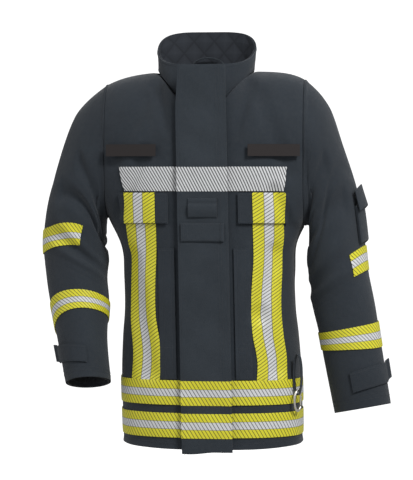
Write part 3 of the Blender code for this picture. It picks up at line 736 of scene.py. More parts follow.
def tape_finish(name, width, pitch, slant, line, across_u=False, all_silver=False):
    """across_u says that the UV's first axis runs across the tape."""
    shade = Shade(name)
    u, v = shade.uv()
    along, across = (v, u) if across_u else (u, v)
    share = across / width
    middle = share.above(0.345).least(1 - share.above(0.655))
    phase = ((along + across * slant) / pitch).fraction()
    gap = 1 - (phase - 0.5).math("ABSOLUTE").range(line * 0.5 - 0.035, line * 0.5 + 0.035)
    edge = (share - 0.345).math("ABSOLUTE").least((share - 0.655).math("ABSOLUTE"))
    edge = 1 - edge.range(0.004, 0.016)
    grain = shade.noise(1200.0, 2.0)
    cloud = shade.noise(25.0, 3.0)
    yellow = shade.blend(cloud * 0.6 + grain * 0.2, YELLOW, YELLOW_SHADE)
    silver = shade.blend(cloud * 0.5 + grain * 0.4, SILVER, SILVER_BRIGHT)
    if all_silver:
        ribbon = silver
        dark = shade.blend(grain, GAP_GREY, (0.09, 0.095, 0.10, 1))
        cut = gap
    else:
        ribbon = shade.blend(middle, yellow, silver)
        dark = shade.blend(middle, GAP_OLIVE, GAP_GREY)
        cut = gap.most(edge * 0.75)
    colour = shade.blend(cut * 0.92, ribbon, dark)
    rough = 0.42 + cut * 0.4 + grain * 0.1
    return shade.finish(colour, rough, (1 - cut) * 1.0 + grain * 0.15, 0.5, 0.0006)


TAPE_WIDTH = 0.051
STRIPE_WIDTH = 0.070
level_tape = tape_finish("yellow_tape_level", TAPE_WIDTH, 0.0080, 0.60, 0.21)
sleeve_tape = tape_finish("yellow_tape_sleeve", TAPE_WIDTH, 0.0082, 0.75, 0.21)
upright_tape = tape_finish("yellow_tape_upright", STRIPE_WIDTH, 0.0074, -0.62, 0.22, across_u=True)
silver_tape = tape_finish("silver_tape", TAPE_WIDTH, 0.0062, 0.50, 0.42, all_silver=True)


# %% Metal and plastic finishes
def steel_finish():
    shade = Shade("worn_steel")
    smear = shade.noise(220.0, 4.0, 0.7)
    pits = shade.noise(2500.0, 2.0)
    colour = shade.blend(smear, (0.62, 0.59, 0.54, 1), (0.80, 0.79, 0.76, 1))
    return shade.finish(colour, 0.22 + smear * 0.25, pits, 0.15, 0.0002, Metallic=0.9)


def zip_finish():
    shade = Shade("zip_plastic")
    grain = shade.noise(900.0, 2.0)
    colour = shade.blend(grain, (0.010, 0.011, 0.013, 1), (0.022, 0.023, 0.026, 1))
    return shade.finish(colour, 0.45 + grain * 0.2, grain, 0.2, 0.0003)


def thread_finish():
    shade = Shade("sewing_thread")
    twist = shade.noise(2200.0, 2.0)
    colour = shade.blend(twist, THREAD, (0.060, 0.070, 0.082, 1))
    return shade.finish(colour, 0.7 + twist * 0.2, twist, 0.3, 0.0002)


steel = steel_finish()
zip_plastic = zip_finish()
thread = thread_finish()
print("tape, metal and thread finishes ready")

# %% [markdown]
# ## Dressing the frame
# A piece rides on a body and takes the place of its CAD solid. Cloth that crosses a joint is
# left fixed where it was built instead.

# %% Which body a node is in, and how a piece joins the model
BODIES = frame["record"]["behaviour"]["bodies"]
BODY_OF = {node: body for body, nodes in BODIES.items() for node in nodes}


def dress(piece, node, slot, blend=None):
    """Ties a piece to its CAD node's body, or with a blend leaves it fixed where it was built, and hides the
    CAD solid.
    """
    if blend:
        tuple(blend[2])
        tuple(blend[3])
        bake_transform(piece)
    else:
        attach(piece, BODY_OF[node])
    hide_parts(node)
    return piece


TRIM_HIGH = 0.0025
TAPE_SINK = 0.0006
SHELL_THICKNESS = 0.0016
LINER_OUT = 0.0036
LINER_IN = 0.0062
PANEL_COLUMNS = 54
PANEL_ROWS = 96
ROW_CROWDING = 1.35
HEM_ROLL = 0.0022
SEAM_GAP = 0.0003

# %% [markdown]
# ## The shell and its liner
# The shell is cut as a back and two fronts, joined at the sides and over the shoulders. The
# panels here run right up to each other, so the seam shows only as a fine valley.


# %% Body panels
def opening_offset(up, side):
    z = body_point(0.0, up).z
    return ZIP_HALF_OPENING + side * (centre_line_x(z) - centre_x(min(up, YOKE_Z)))


def panel_top(share, side, rise):
    top = YOKE_Z + SHOULDER_ARC
    angle = math.asin((NECK_HALF_WIDTH / half_width(top)) ** (ROUNDING / 2))
    end = angle / side_angle(top, side)
    top -= 0.0002
    if share >= end:
        return top
    low = YOKE_Z + SHOULDER_ARC * rise
    return top - (top - low) * math.cos(0.5 * math.pi * share / end)


def kept_inside(point):
    return Vector((min(max(point.x, -ARM_X), ARM_X), point.y, point.z))


def hem_wave(angle):
    """The hem's lower edge is not quite level: rounded up towards the sides."""
    return 0.006 * math.sin(angle) ** 2


def front_at(side):
    def at(u, v, lift):
        share = u if side > 0 else 1 - u
        rise = 1 - (1 - v) ** ROW_CROWDING
        low = HEM_Z + hem_wave(side * share * 1.5)
        up = mix(low, panel_top(share, side, FRONT_NECK_RISE), rise)
        start = angle_at(min(up, YOKE_Z), opening_offset(up, side))
        angle = side * mix(start, side_angle(up, side) - SEAM_GAP, share)
        roll = HEM_ROLL * bump(v, 0.0, 0.012)
        return kept_inside(body_at(angle, up, lift + roll))
    return at


def back_at(u, v, lift):
    side = 1 if u < 0.5 else -1
    share = abs(1 - 2 * u)
    rise = 1 - (1 - v) ** ROW_CROWDING
    low = HEM_Z + hem_wave(side * share * 1.5)
    up = mix(low, panel_top(share, side, BACK_NECK_RISE), rise)
    angle = math.pi - side * share * (side_angle(up, side) - SEAM_GAP)
    roll = HEM_ROLL * bump(v, 0.0, 0.012)
    return kept_inside(body_at(angle, up, lift + roll))


for side in (1, -1):
    word = NAMES[side]
    shell = slab(word + "_front_cloth", front_at(side), PANEL_COLUMNS, PANEL_ROWS, 0.0,
                 -SHELL_THICKNESS, shell_cloth)
    dress(shell, word + "_front_shell", "shell_cloth")
    lining = slab(word + "_front_quilt", front_at(side), 30, 48, -LINER_OUT, -LINER_IN, liner_cloth)
    dress(lining, word + "_front_liner", "liner_cloth")
shell = slab("back_cloth", back_at, 2 * PANEL_COLUMNS, PANEL_ROWS, 0.0,
             -SHELL_THICKNESS, shell_cloth)
dress(shell, "back_shell", "shell_cloth")
lining = slab("back_quilt", back_at, 60, 48, -LINER_OUT, -LINER_IN, liner_cloth)
dress(lining, "back_liner", "liner_cloth")
print("body panels made")

# %% [markdown]
# ## The collar
# The collar stands up from the neck seam, higher behind than in front, and its rim is rolled
# a little outward. The lining inside it is a second, darker layer.

# %% Collar
COLLAR_FRONT_Z = 0.826
COLLAR_BACK_Z = 0.903
COLLAR_HALF_WIDTH = 0.116
COLLAR_THICKNESS = 0.0030


def neck_point(angle):
    back = 0.5 - 0.5 * math.cos(angle)
    side = math.sin(angle) ** 2
    x = math.sin(angle) * (NECK_HALF_WIDTH - 0.009)
    depth = 0.098 if math.cos(angle) > 0 else 0.058
    return Vector((x, -math.cos(angle) * depth, mix(mix(0.738, 0.803, back), SHOULDER_Z + 0.002, side)))


def collar_point(angle, share, lift):
    base = neck_point(angle)
    back = 0.5 - 0.5 * math.cos(angle)
    rim_z = mix(COLLAR_FRONT_Z, COLLAR_BACK_Z, smooth_step(0.0, 1.0, back))
    out = Vector((math.sin(angle), -math.cos(angle), 0)).normalized()
    x = base.x * mix(1.0, COLLAR_HALF_WIDTH / NECK_HALF_WIDTH, share)
    y = base.y * (1 + 0.04 * share) + (0.010 * (1 - back) + 0.006) * share
    dip = 0.0018 * math.sin(angle * 6) * bump(share, 0.5, 0.5)
    return Vector((x, y, mix(base.z, rim_z, share))) + out * (lift + dip)


def collar_at(first_share):
    start = math.asin(ZIP_HALF_OPENING * 1.5 / NECK_HALF_WIDTH)

    def at(u, v, lift):
        angle = mix(start, 2 * math.pi - start, u)
        return collar_point(angle, mix(first_share, 1.0, v), lift)
    return at


collar = slab("collar_cloth", collar_at(-0.03), 120, 24, 0.0, -COLLAR_THICKNESS, shell_cloth)
dress(collar, "collar_shell", "shell_cloth")
collar_inside = slab("collar_quilt", collar_at(0.02), 90, 12, -0.0034, -0.0060, liner_cloth)
dress(collar_inside, "collar_lining", "liner_cloth")
print("collar made")

# %% [markdown]
# ## Sleeves
# Each sleeve is two lengths of cloth, meeting at the elbow seam. The upper length swings with
# the upper arm at the armhole seam, and the lower one is left fixed where it was built. The
# liner starts a little below the armhole, so that it stays clear of the body panels when the
# arm swings.

# %% Sleeve cloth and liners
RING = 96
LINER_START = 0.04
WRIST_SHARES = (0.86, 0.99)
WRIST_OUT = 0.0105
WRIST_IN = 0.0125
BLEND_SHARES = (0.50, 0.60)


def elbow_planes(side):
    """Two points on the sleeve's middle line; the second lies at the elbow seam."""
    return [sleeve_middle(side, share) - HANGER_POINT for share in BLEND_SHARES]


def tube_at(side, first, last):
    def at(u, v, lift):
        turn = u if side < 0 else 1 - u
        return sleeve_at(side, mix(first, last, v), 2 * math.pi * turn, lift)
    return at


def sleeve_layer(side, kind, node_end, start, high, low, finish, slot):
    """One layer of a sleeve, shell or liner, in its two lengths."""
    word = NAMES[side]
    upper = slab(f"{word}_upper_{kind}", tube_at(side, start, ELBOW_SHARE), RING, 72, high, low,
                 finish, True)
    dress(upper, word + "_upper_sleeve" + node_end, slot)
    lower = slab(f"{word}_lower_{kind}", tube_at(side, ELBOW_SHARE, 1.0), RING, 60, high, low,
                 finish, True)
    turn = (word + "_upper_arm", word + "_forearm_body", *elbow_planes(side))
    dress(lower, word + "_forearm" + node_end, slot, turn)


def sleeve_cloth(side):
    word = NAMES[side]
    sleeve_layer(side, "cloth", "", 0.0, 0.0, -SHELL_THICKNESS, shell_cloth, "shell_cloth")
    sleeve_layer(side, "quilt", "_liner", LINER_START, -LINER_OUT, -LINER_IN, liner_cloth, "liner_cloth")
    wrist = slab(word + "_wrist_knit", tube_at(side, *WRIST_SHARES), RING, 12, -WRIST_OUT, -WRIST_IN,
                 knit, True)
    dress(wrist, word + "_wristlet", "knit")


for side in (1, -1):
    sleeve_cloth(side)
print("sleeves made")

# %% [markdown]
# ## Tapes
# Each tape is a strip a millimetre thick, sewn flat on the cloth. The level tapes go all the
# way round the hem, the upright ones run from the chest to the hem, and the sleeves carry a
# full ring on the forearm and a part ring above the elbow.

# %% Tape places
CHEST_BAND_Z = 0.559
CHEST_BAND_REACH = 0.168
UPPER_HEM_BAND_Z = 0.113
LOWER_HEM_BAND_Z = 0.045
FLAP_HALF_WIDTH = 0.053
STRIPE_X = {1: 0.103, -1: 0.100}
POCKET_FLAP_TOP_Z = 0.5555
POCKET_FLAP_HEIGHT = 0.064


def band_at(side, low_z, end):
    start_x = side * (FLAP_HALF_WIDTH - 0.002)

    def at(u, v, lift):
        share = u if side > 0 else 1 - u
        up = low_z + TAPE_WIDTH * v
        angle = mix(angle_at(up, start_x), end, share)
        return body_at(angle, up, lift)
    return at


for side in (1, -1):
    word = NAMES[side]
    chest_end = angle_at(CHEST_BAND_Z, side * CHEST_BAND_REACH)
    tape = slab("chest_tape_" + word, band_at(side, CHEST_BAND_Z, chest_end), 40, 10, TRIM_HIGH,
                TAPE_SINK, silver_tape)
    dress(tape, "chest_band_" + word, "silver_tape")
    for kind, low_z in (("upper", UPPER_HEM_BAND_Z), ("lower", LOWER_HEM_BAND_Z)):
        end = side * math.pi
        tape = slab(f"hem_tape_{kind}_{word}", band_at(side, low_z, end), 150, 10, TRIM_HIGH,
                    TAPE_SINK, level_tape)
        dress(tape, f"hem_band_{kind}_{word}", "yellow_tape")


def stripe_sway(side, z):
    """The upright tape wanders sideways with the cloth's folds."""
    if side > 0:
        return -0.007 * bump(z, 0.31, 0.12) + 0.004 * bump(z, 0.20, 0.06)
    return 0.005 * bump(z, 0.33, 0.12) - 0.006 * bump(z, 0.22, 0.08)


def stripe_at(side, low_z, high_z):
    def at(u, v, lift):
        share = u if side > 0 else 1 - u
        up = mix(low_z, high_z, v)
        start = angle_at(up, side * (STRIPE_X[side] + stripe_sway(side, up)))
        return body_at(angle_after(up, start, side * STRIPE_WIDTH * share), up, lift)
    return at


FLAP_FOOT = POCKET_FLAP_TOP_Z - POCKET_FLAP_HEIGHT
STRIPE_OVERLAP = 0.012
STRIPE_FACE = 0.0022
for side in (1, -1):
    word = NAMES[side]
    low_z = UPPER_HEM_BAND_Z + TAPE_WIDTH - 0.003
    stripe = slab(word + "_upright_tape", stripe_at(side, low_z, FLAP_FOOT + STRIPE_OVERLAP), 16, 90,
                  STRIPE_FACE, TAPE_SINK, upright_tape)
    dress(stripe, word + "_stripe", "yellow_tape")
print("body tapes made")

# %% Sleeve tapes
UPPER_BAND_TURN = {1: (-0.9, 1.05), -1: (-0.9, 1.75)}
UPPER_BAND_SHARE = {1: 0.485, -1: 0.390}
UPPER_BAND_TILT = {1: (0.010, 0.0), -1: (0.105, 0.0)}
FOREARM_BAND_SHARE = {1: 0.7425, -1: 0.715}
FOREARM_BAND_TILT = {1: (0.0325, 0.012), -1: (0.055, -0.035)}
BAND_SHARE_WIDTH = 0.078
WHOLE_TURN = (0.0, 2 * math.pi)


def sleeve_band_at(side, first, tilt, turns):
    """A tape round the arm: the tilt slides it down on the outside and on the front."""
    def at(u, v, lift):
        way = u if side < 0 else 1 - u
        theta = mix(turns[0], turns[1], way)
        share = first + BAND_SHARE_WIDTH * (1 - v) + tilt[0] * math.cos(theta) + tilt[1] * math.sin(theta)
        return sleeve_at(side, share, theta, lift)
    return at


for side in (1, -1):
    word = NAMES[side]
    part_way = sleeve_band_at(side, UPPER_BAND_SHARE[side], UPPER_BAND_TILT[side], UPPER_BAND_TURN[side])
    part = slab(word + "_upper_arm_tape", part_way, 50, 12, TRIM_HIGH, TAPE_SINK, sleeve_tape)
    dress(part, word + "_upper_band", "yellow_tape")
    all_round = sleeve_band_at(side, FOREARM_BAND_SHARE[side], FOREARM_BAND_TILT[side], WHOLE_TURN)
    ring = slab(word + "_forearm_tape", all_round, RING, 12, TRIM_HIGH, TAPE_SINK, sleeve_tape, True)
    dress(ring, word + "_forearm_band", "yellow_tape")
print("sleeve tapes made")

# %% [markdown]
# ## Storm flap and what is sewn on it
# The flap hangs over the zip from its sewn edge on the wearer's left. It is flat where the
# bands cross it and swells a little between. Its free edge casts the deep line down the front.

# %% Flap cloth
FLAP_LOW = 0.0066
FLAP_THICKNESS = 0.0034
FLAP_FOOT_Z = 0.016
FLAP_TOP_Z = 0.824
FLAP_NECK_HALF_WIDTH = 0.047
NARROWING_Z = 0.715
FLAP_FACE = FLAP_LOW + FLAP_THICKNESS


def flap_swell(share, z):
    edge = 1 - abs(2 * share - 1) ** 4
    wave = 0.0009 * math.sin(z * 31 + 1.1) + 0.0007 * math.sin(z * 71 + share * 5)
    sides = smooth_step(0.2, 0.35, share) * (1 - smooth_step(0.65, 0.8, share))
    pleat = 0.0030 * bump(z, 0.520, 0.020) * sides
    return edge * wave * (1 - bump(z, 0.58, 0.05)) + pleat


def flap_at(u, v, lift):
    z = mix(FLAP_FOOT_Z, FLAP_TOP_Z, v)
    narrow = smooth_step(NARROWING_Z, FLAP_TOP_Z, z)
    left = -mix(FLAP_HALF_WIDTH, FLAP_NECK_HALF_WIDTH, narrow)
    x = mix(left, FLAP_HALF_WIDTH, u)
    droop = 0.004 * bump(u, 0.15, 0.5) * (1 - v) ** 8
    return front_place(x, z - droop, lift + flap_swell(u, z))


flap = slab("storm_flap_cloth", flap_at, 28, 200, FLAP_FACE, FLAP_LOW, flap_cloth)
dress(flap, "storm_flap", "shell_cloth")


def strip_at(x0, x1, z0, z1, follow=False):
    def at(u, v, lift):
        z = mix(z0, z1, v)
        x = mix(x0, x1, u)
        swell = flap_swell((x + FLAP_HALF_WIDTH) / (2 * FLAP_HALF_WIDTH), z) if follow else 0.0
        return front_place(x, z, lift + swell)
    return at


EDGE = FLAP_HALF_WIDTH + 0.0002
FLAP_TAPE_FACE = FLAP_FACE + 0.0012
FLAP_TAPE_BACK = FLAP_FACE - 0.0002
for name, low_z, finish, slot in (("chest_band", CHEST_BAND_Z, silver_tape, "silver_tape"),
                                  ("hem_band_upper", UPPER_HEM_BAND_Z, level_tape, "yellow_tape"),
                                  ("hem_band_lower", LOWER_HEM_BAND_Z, level_tape, "yellow_tape")):
    tape = slab(name + "_on_flap", strip_at(-EDGE, EDGE, low_z, low_z + TAPE_WIDTH, True), 24, 12,
                FLAP_TAPE_FACE, FLAP_TAPE_BACK, finish)
    dress(tape, name + "_flap", slot)
STRIP_X = (-0.050, -0.030)
STRIP_Z = (0.10, 0.70)
for name, node, high, low in (("flap_hooks", "hook_strip", FLAP_LOW - 0.0003, FLAP_LOW - 0.0016),
                              ("front_loops", "loop_strip", 0.0022, 0.0004)):
    strip = slab(name, strip_at(*STRIP_X, *STRIP_Z), 6, 60, high, low, fleece)
    dress(strip, node, "hook_and_loop")
KEEPER_HALF_WIDTH = 0.030
KEEPER_Z = (0.505, 0.545)
KEEPER_THICKNESS = 0.0026
STRAP_X = (-0.046, 0.044)
STRAP_Z = (0.455, 0.493)
STRAP_FACE = FLAP_FACE + 0.0042
STRAP_BACK = FLAP_FACE + 0.0012


def keeper_at(u, v, lift):
    """The folded loop above the radio strap: a soft roll of cloth."""
    z = mix(*KEEPER_Z, v)
    roll = 0.0022 * math.sin(math.pi * v) - 0.0016 * bump(v, 0.72, 0.14)
    x = mix(-KEEPER_HALF_WIDTH, KEEPER_HALF_WIDTH, u)
    return front_place(x, z, lift + roll + flap_swell(0.5, z) * 0.4)


keeper = slab("radio_loop_cloth", keeper_at, 20, 20, FLAP_FACE + KEEPER_THICKNESS, FLAP_FACE, flap_cloth)
dress(keeper, "radio_keeper", "shell_cloth")


def strap_at(u, v, lift):
    z = mix(*STRAP_Z, v)
    x = mix(*STRAP_X, u)
    crown = 0.0006 * (1 - (2 * v - 1) ** 4) + 0.0012 * bump(u, 0.95, 0.06)
    return front_place(x, z, lift + crown)


strap = slab("radio_strap_cloth", strap_at, 44, 16, STRAP_FACE, STRAP_BACK, flap_cloth)
dress(strap, "radio_strap", "shell_cloth")
print("storm flap made")

# %% [markdown]
# ## Pockets and strips
# The chest pockets show only their flaps, each with the upright tape carried on over it. The
# hand pockets open beside the storm flap. The two name strips on the chest stay as the frame
# has them.


# %% Pocket flaps and hand pockets
POCKET_FLAP_IN_X = 0.073
POCKET_FLAP_WIDTH = 0.110
POCKET_FLAP_LIFTS = (0.0058, 0.0036)
FLAP_TAPE_LIFTS = (0.0080, 0.0060)
HAND_POCKET_X = 0.062
HAND_POCKET_TOP_Z = 0.440
HAND_POCKET_LIFTS = (0.0022, 0.0004)


def flap_panel_at(side):
    def at(u, v, lift):
        share = u if side > 0 else 1 - u
        up = mix(FLAP_FOOT, POCKET_FLAP_TOP_Z, v)
        start = angle_at(up, side * POCKET_FLAP_IN_X)
        curl = 0.0010 * (1 - v) ** 2
        return body_at(angle_after(up, start, side * POCKET_FLAP_WIDTH * share), up, lift + curl)
    return at


def hand_pocket_at(side):
    def at(u, v, lift):
        share = u if side > 0 else 1 - u
        up = mix(UPPER_HEM_BAND_Z + TAPE_WIDTH + 0.002, HAND_POCKET_TOP_Z, v)
        near = angle_at(up, side * HAND_POCKET_X)
        far = angle_at(up, side * (STRIPE_X[-1] - 0.003))
        lip = 0.0018 * (1 - smooth_step(0.0, 0.16, share)) * smooth_step(0.0, 0.05, v)
        return body_at(mix(near, far, share), up, lift + lip)
    return at


for side in (1, -1):
    word = NAMES[side]
    panel = slab(word + "_pocket_flap_cloth", flap_panel_at(side), 30, 20, *POCKET_FLAP_LIFTS, shell_cloth)
    dress(panel, word + "_pocket_flap", "shell_cloth")
    way = stripe_at(side, FLAP_FOOT + 0.001, CHEST_BAND_Z - 0.003)
    tape = slab(word + "_flap_upright_tape", way, 16, 20, *FLAP_TAPE_LIFTS, upright_tape)
    dress(tape, word + "_flap_stripe", "yellow_tape")
    pocket = slab(word + "_hand_pocket_cloth", hand_pocket_at(side), 14, 60, *HAND_POCKET_LIFTS, shell_cloth)
    dress(pocket, word + "_hand_pocket", "shell_cloth")
print("pockets made")


# %% Cuff straps and the sleeve pocket
CUFF_STRAP_TURN = (-0.02, 1.75)
CUFF_STRAP_SHARE = 0.925
CUFF_STRAP_SHARE_WIDTH = 0.055
CUFF_STRAP_LIFTS = (0.0044, 0.0018)
TAB_LIFT = 0.007
POCKET_SHARES = (0.400, 0.482)
POCKET_TURN = (-0.55, 0.55)
POCKET_LIFTS = (0.0085, 0.0008)
LID_SHARES = (0.362, 0.410)
LID_TURN = (-0.57, 0.57)
LID_CURL = 0.004
LID_LIFTS = (0.0124, 0.0098)


def cuff_strap_at(side):
    def at(u, v, lift):
        way = u if side < 0 else 1 - u
        theta = mix(*CUFF_STRAP_TURN, way)
        tab = TAB_LIFT * bump(way, 0.0, 0.10)
        first = CUFF_STRAP_SHARE - CUFF_STRAP_SHARE_WIDTH / 2
        share = first + CUFF_STRAP_SHARE_WIDTH * (1 - v) * mix(0.86, 1.0, way)
        return sleeve_at(side, share - 0.01 * bump(way, 0.0, 0.15), theta, lift + tab)
    return at


def sleeve_patch_at(shares, turns, curl=0.0):
    def at(u, v, lift):
        theta = mix(turns[0], turns[1], 1 - u)
        share = mix(shares[1], shares[0], v)
        return sleeve_at(1, share, theta, lift + curl * (1 - v) ** 2)
    return at


for side in (1, -1):
    word = NAMES[side]
    strap = slab(word + "_cuff_strap_cloth", cuff_strap_at(side), 44, 12, *CUFF_STRAP_LIFTS, shell_cloth)
    dress(strap, word + "_cuff_strap", "shell_cloth")
pocket_way = sleeve_patch_at(POCKET_SHARES, POCKET_TURN)
pocket = slab("sleeve_pocket_cloth", pocket_way, 28, 24, *POCKET_LIFTS, shell_cloth)
dress(pocket, "left_sleeve_pocket", "shell_cloth")
lid_way = sleeve_patch_at(LID_SHARES, LID_TURN, LID_CURL)
pocket_lid = slab("sleeve_pocket_lid", lid_way, 28, 14, *LID_LIFTS, shell_cloth)
dress(pocket_lid, "left_sleeve_pocket_flap", "shell_cloth")
print("straps and sleeve pocket made")

# %% [markdown]
# ## Stitches by Geometry Nodes
# A seam is one short thread shape repeated along a line, and a zip's teeth are one small block.
# The function below builds the tree for both: it takes a line, cuts it into equal steps and
# lays the shape on each step. A thread is also turned along the line. The named inputs are the
# step and the sizes of the shape.


# %% The tree for rows of stitches or teeth
def row_tree(name, shape_kind, numbers, sizes, vertices=None):
    """Lays one small shape at equal steps on a line. sizes pairs inputs with shape sockets."""
    tree = bpy.data.node_groups.new(name, "GeometryNodeTree")
    face = tree.interface
    face.new_socket("Geometry", in_out="INPUT", socket_type="NodeSocketGeometry")
    for label, (kind, value) in numbers.items():
        face.new_socket(label, in_out="INPUT", socket_type=kind).default_value = value
    face.new_socket("Finish", in_out="INPUT", socket_type="NodeSocketMaterial")
    face.new_socket("Geometry", in_out="OUTPUT", socket_type="NodeSocketGeometry")
    nodes = tree.nodes
    link = tree.links.new
    given = nodes.new("NodeGroupInput")
    result = nodes.new("NodeGroupOutput")
    line = nodes.new("GeometryNodeMeshToCurve")
    spaced = nodes.new("GeometryNodeResampleCurve")
    spaced.mode = "LENGTH"
    shape = nodes.new(shape_kind)
    place = nodes.new("GeometryNodeInstanceOnPoints")
    real = nodes.new("GeometryNodeRealizeInstances")
    paint = nodes.new("GeometryNodeSetMaterial")
    link(given.outputs["Geometry"], line.inputs[0])
    link(line.outputs[0], spaced.inputs["Curve"])
    link(given.outputs["Step"], spaced.inputs["Length"])
    for label, socket in sizes.items():
        link(given.outputs[label], shape.inputs[socket])
    if vertices:
        shape.inputs["Vertices"].default_value = vertices
        tangent = nodes.new("GeometryNodeInputTangent")
        turn = nodes.new("FunctionNodeAlignRotationToVector")
        turn.axis = "Z"
        link(tangent.outputs[0], turn.inputs["Vector"])
        link(turn.outputs[0], place.inputs["Rotation"])
    link(spaced.outputs[0], place.inputs["Points"])
    link(shape.outputs[0], place.inputs["Instance"])
    link(place.outputs[0], real.inputs[0])
    link(real.outputs[0], paint.inputs["Geometry"])
    link(given.outputs["Finish"], paint.inputs["Material"])
    link(paint.outputs[0], result.inputs[0])
    return tree


STITCH_STEP = 0.0034
STITCH_LENGTH = 0.0023
STITCH_RADIUS = 0.00040
STITCH_RISE = 0.0001
SEAM_LIFT = 0.0002
STITCH_TREE = row_tree(
    "stitch_row", "GeometryNodeMeshCylinder",
    {"Step": ("NodeSocketFloat", STITCH_STEP), "Stitch length": ("NodeSocketFloat", STITCH_LENGTH),
     "Thickness": ("NodeSocketFloat", STITCH_RADIUS)},
    {"Stitch length": "Depth", "Thickness": "Radius"}, vertices=5)


def grow(name, lines, tree, values):
    """Runs a tree on a set of lines and keeps the result as a plain mesh."""
    points = []
    edges = []
    for line in lines:
        first = len(points)
        points += [tuple(p - HANGER_POINT) for p in line]
        edges += [(first + i, first + i + 1) for i in range(len(line) - 1)]
    mesh = bpy.data.meshes.new(name + "_lines")
    mesh.from_pydata(points, edges, [])
    item = add_object(name, mesh)
    modifier = item.modifiers.new("rows", "NODES")
    modifier.node_group = tree
    for socket in tree.interface.items_tree:
        if socket.in_out == "INPUT" and socket.name in values:
            modifier[socket.identifier] = values[socket.name]
    grown = item.evaluated_get(bpy.context.evaluated_depsgraph_get())
    plain = bpy.data.meshes.new_from_object(grown)
    item.modifiers.remove(modifier)
    item.data = plain
    print(name, len(plain.polygons), "faces")
    return item


def sew(name, lines, node):
    item = grow(name, lines, STITCH_TREE, {"Finish": thread, "Step": STITCH_STEP, "Thickness": STITCH_RADIUS,
                                           "Stitch length": STITCH_LENGTH})
    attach(item, BODY_OF[node])


def trace(at, path, lift, count=60):
    """A line on a piece: path(t) gives its u and v."""
    return [at(*path(i / count), lift) for i in range(count + 1)]


# %% Seams on the flap, pockets and fronts
def row_v(u, v0=0.0, v1=1.0):
    return lambda t: (u, mix(v0, v1, t))


def row_u(v, u0=0.0, u1=1.0):
    return lambda t: (mix(u0, u1, t), v)


flap_lines = [trace(flap_at, row_v(u), FLAP_FACE + STITCH_RISE, 240) for u in (0.05, 0.80, 0.86, 0.965)]
sew("storm_flap_stitches", flap_lines, "storm_flap")
on_strap = STRAP_FACE + STITCH_RISE
strap_lines = [trace(strap_at, row_v(u, 0.06, 0.94), on_strap, 12) for u in (0.07, 0.15, 0.93)]
strap_lines += [trace(strap_at, row_u(v, 0.04, 0.96), on_strap, 24) for v in (0.08, 0.92)]
sew("radio_strap_stitches", strap_lines, "radio_strap")
for side in (1, -1):
    word = NAMES[side]
    at = flap_panel_at(side)
    lines = [trace(at, row_u(v, 0.03, 0.97), POCKET_FLAP_LIFTS[0] + STITCH_RISE, 30) for v in (0.06, 0.93)]
    lines += [trace(at, row_v(u, 0.06, 0.93), POCKET_FLAP_LIFTS[0] + STITCH_RISE, 16) for u in (0.04, 0.96)]
    sew(word + "_pocket_flap_stitches", lines, word + "_pocket_flap")
    at = hand_pocket_at(side)
    near = 0.20 if side > 0 else 0.80
    lift = HAND_POCKET_LIFTS[0] + STITCH_RISE
    lines = [trace(at, row_v(u, 0.02, 0.98), lift, 60) for u in (near, 1 - near + (near - 0.5) * 0.5)]
    lines += [trace(at, row_u(v, 0.1, 0.9), lift, 10) for v in (0.24, 0.98)]
    sew(word + "_hand_pocket_stitches", lines, word + "_hand_pocket")
    at = cuff_strap_at(side)
    lines = [trace(at, row_u(v, 0.04, 0.97), CUFF_STRAP_LIFTS[0] + STITCH_RISE, 30) for v in (0.10, 0.90)]
    sew(word + "_cuff_strap_stitches", lines, word + "_cuff_strap")
    turns = [2 * math.pi * i / RING for i in range(RING + 1)]
    for kind, node, shares in (("_armhole", "_upper_sleeve", (0.022, 0.034)),
                               ("_cuff", "_forearm", (0.966, 0.978))):
        lines = [[sleeve_at(side, share, theta, SEAM_LIFT) for theta in turns] for share in shares]
        sew(word + kind + "_stitches", lines, word + node)
    at = front_at(side)
    lines = [trace(at, row_u(0.012, 0.02, 0.98), SEAM_LIFT, 60)]
    sew(word + "_hem_stitches", lines, word + "_front_shell")
collar_lines = [trace(collar_at(-0.03), row_u(v, 0.01, 0.99), SEAM_LIFT, 160) for v in (0.10, 0.93)]
sew("collar_stitches", collar_lines, "collar_shell")

# %% [markdown]
# ## The zip
# The teeth are one small block repeated up each tape, shifted by half a step from side to side
# so that the two rows mesh. The slider and its pull are smooth steel.


# %% Zip teeth, tapes and slider
TOOTH_STEP = 0.0034
TOOTH_SIZE = (0.0028, 0.0020, 0.0013)
TOOTH_TREE = row_tree(
    "zip_teeth", "GeometryNodeMeshCube",
    {"Step": ("NodeSocketFloat", TOOTH_STEP), "Tooth size": ("NodeSocketVector", TOOTH_SIZE)},
    {"Tooth size": "Size"})
ZIP_BOTTOM_Z = 0.040
ZIP_TOP_Z = 0.812
RIBBON_X = (0.0006, 0.0078)
RIBBON_LIFTS = (-0.0003, -0.0012)
TOOTH_X = 0.0016
TOOTH_LIFT = 0.0003
for side in (1, -1):
    word = NAMES[side]
    ends = sorted(side * x for x in RIBBON_X)
    way = strip_at(*ends, ZIP_BOTTOM_Z, ZIP_TOP_Z)
    ribbon = slab("zip_ribbon_" + word, way, 4, 60, *RIBBON_LIFTS, fleece)
    dress(ribbon, "zip_tape_" + word, "zip_black")
    start = ZIP_BOTTOM_Z + (TOOTH_STEP / 2 if side > 0 else 0.0)
    line = [front_place(side * TOOTH_X, mix(start, ZIP_TOP_Z, t), TOOTH_LIFT) for t in fractions(40)]
    teeth = grow("zip_teeth_" + word, [line], TOOTH_TREE,
                 {"Step": TOOTH_STEP, "Tooth size": TOOTH_SIZE, "Finish": zip_plastic})
    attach(teeth, "coat")
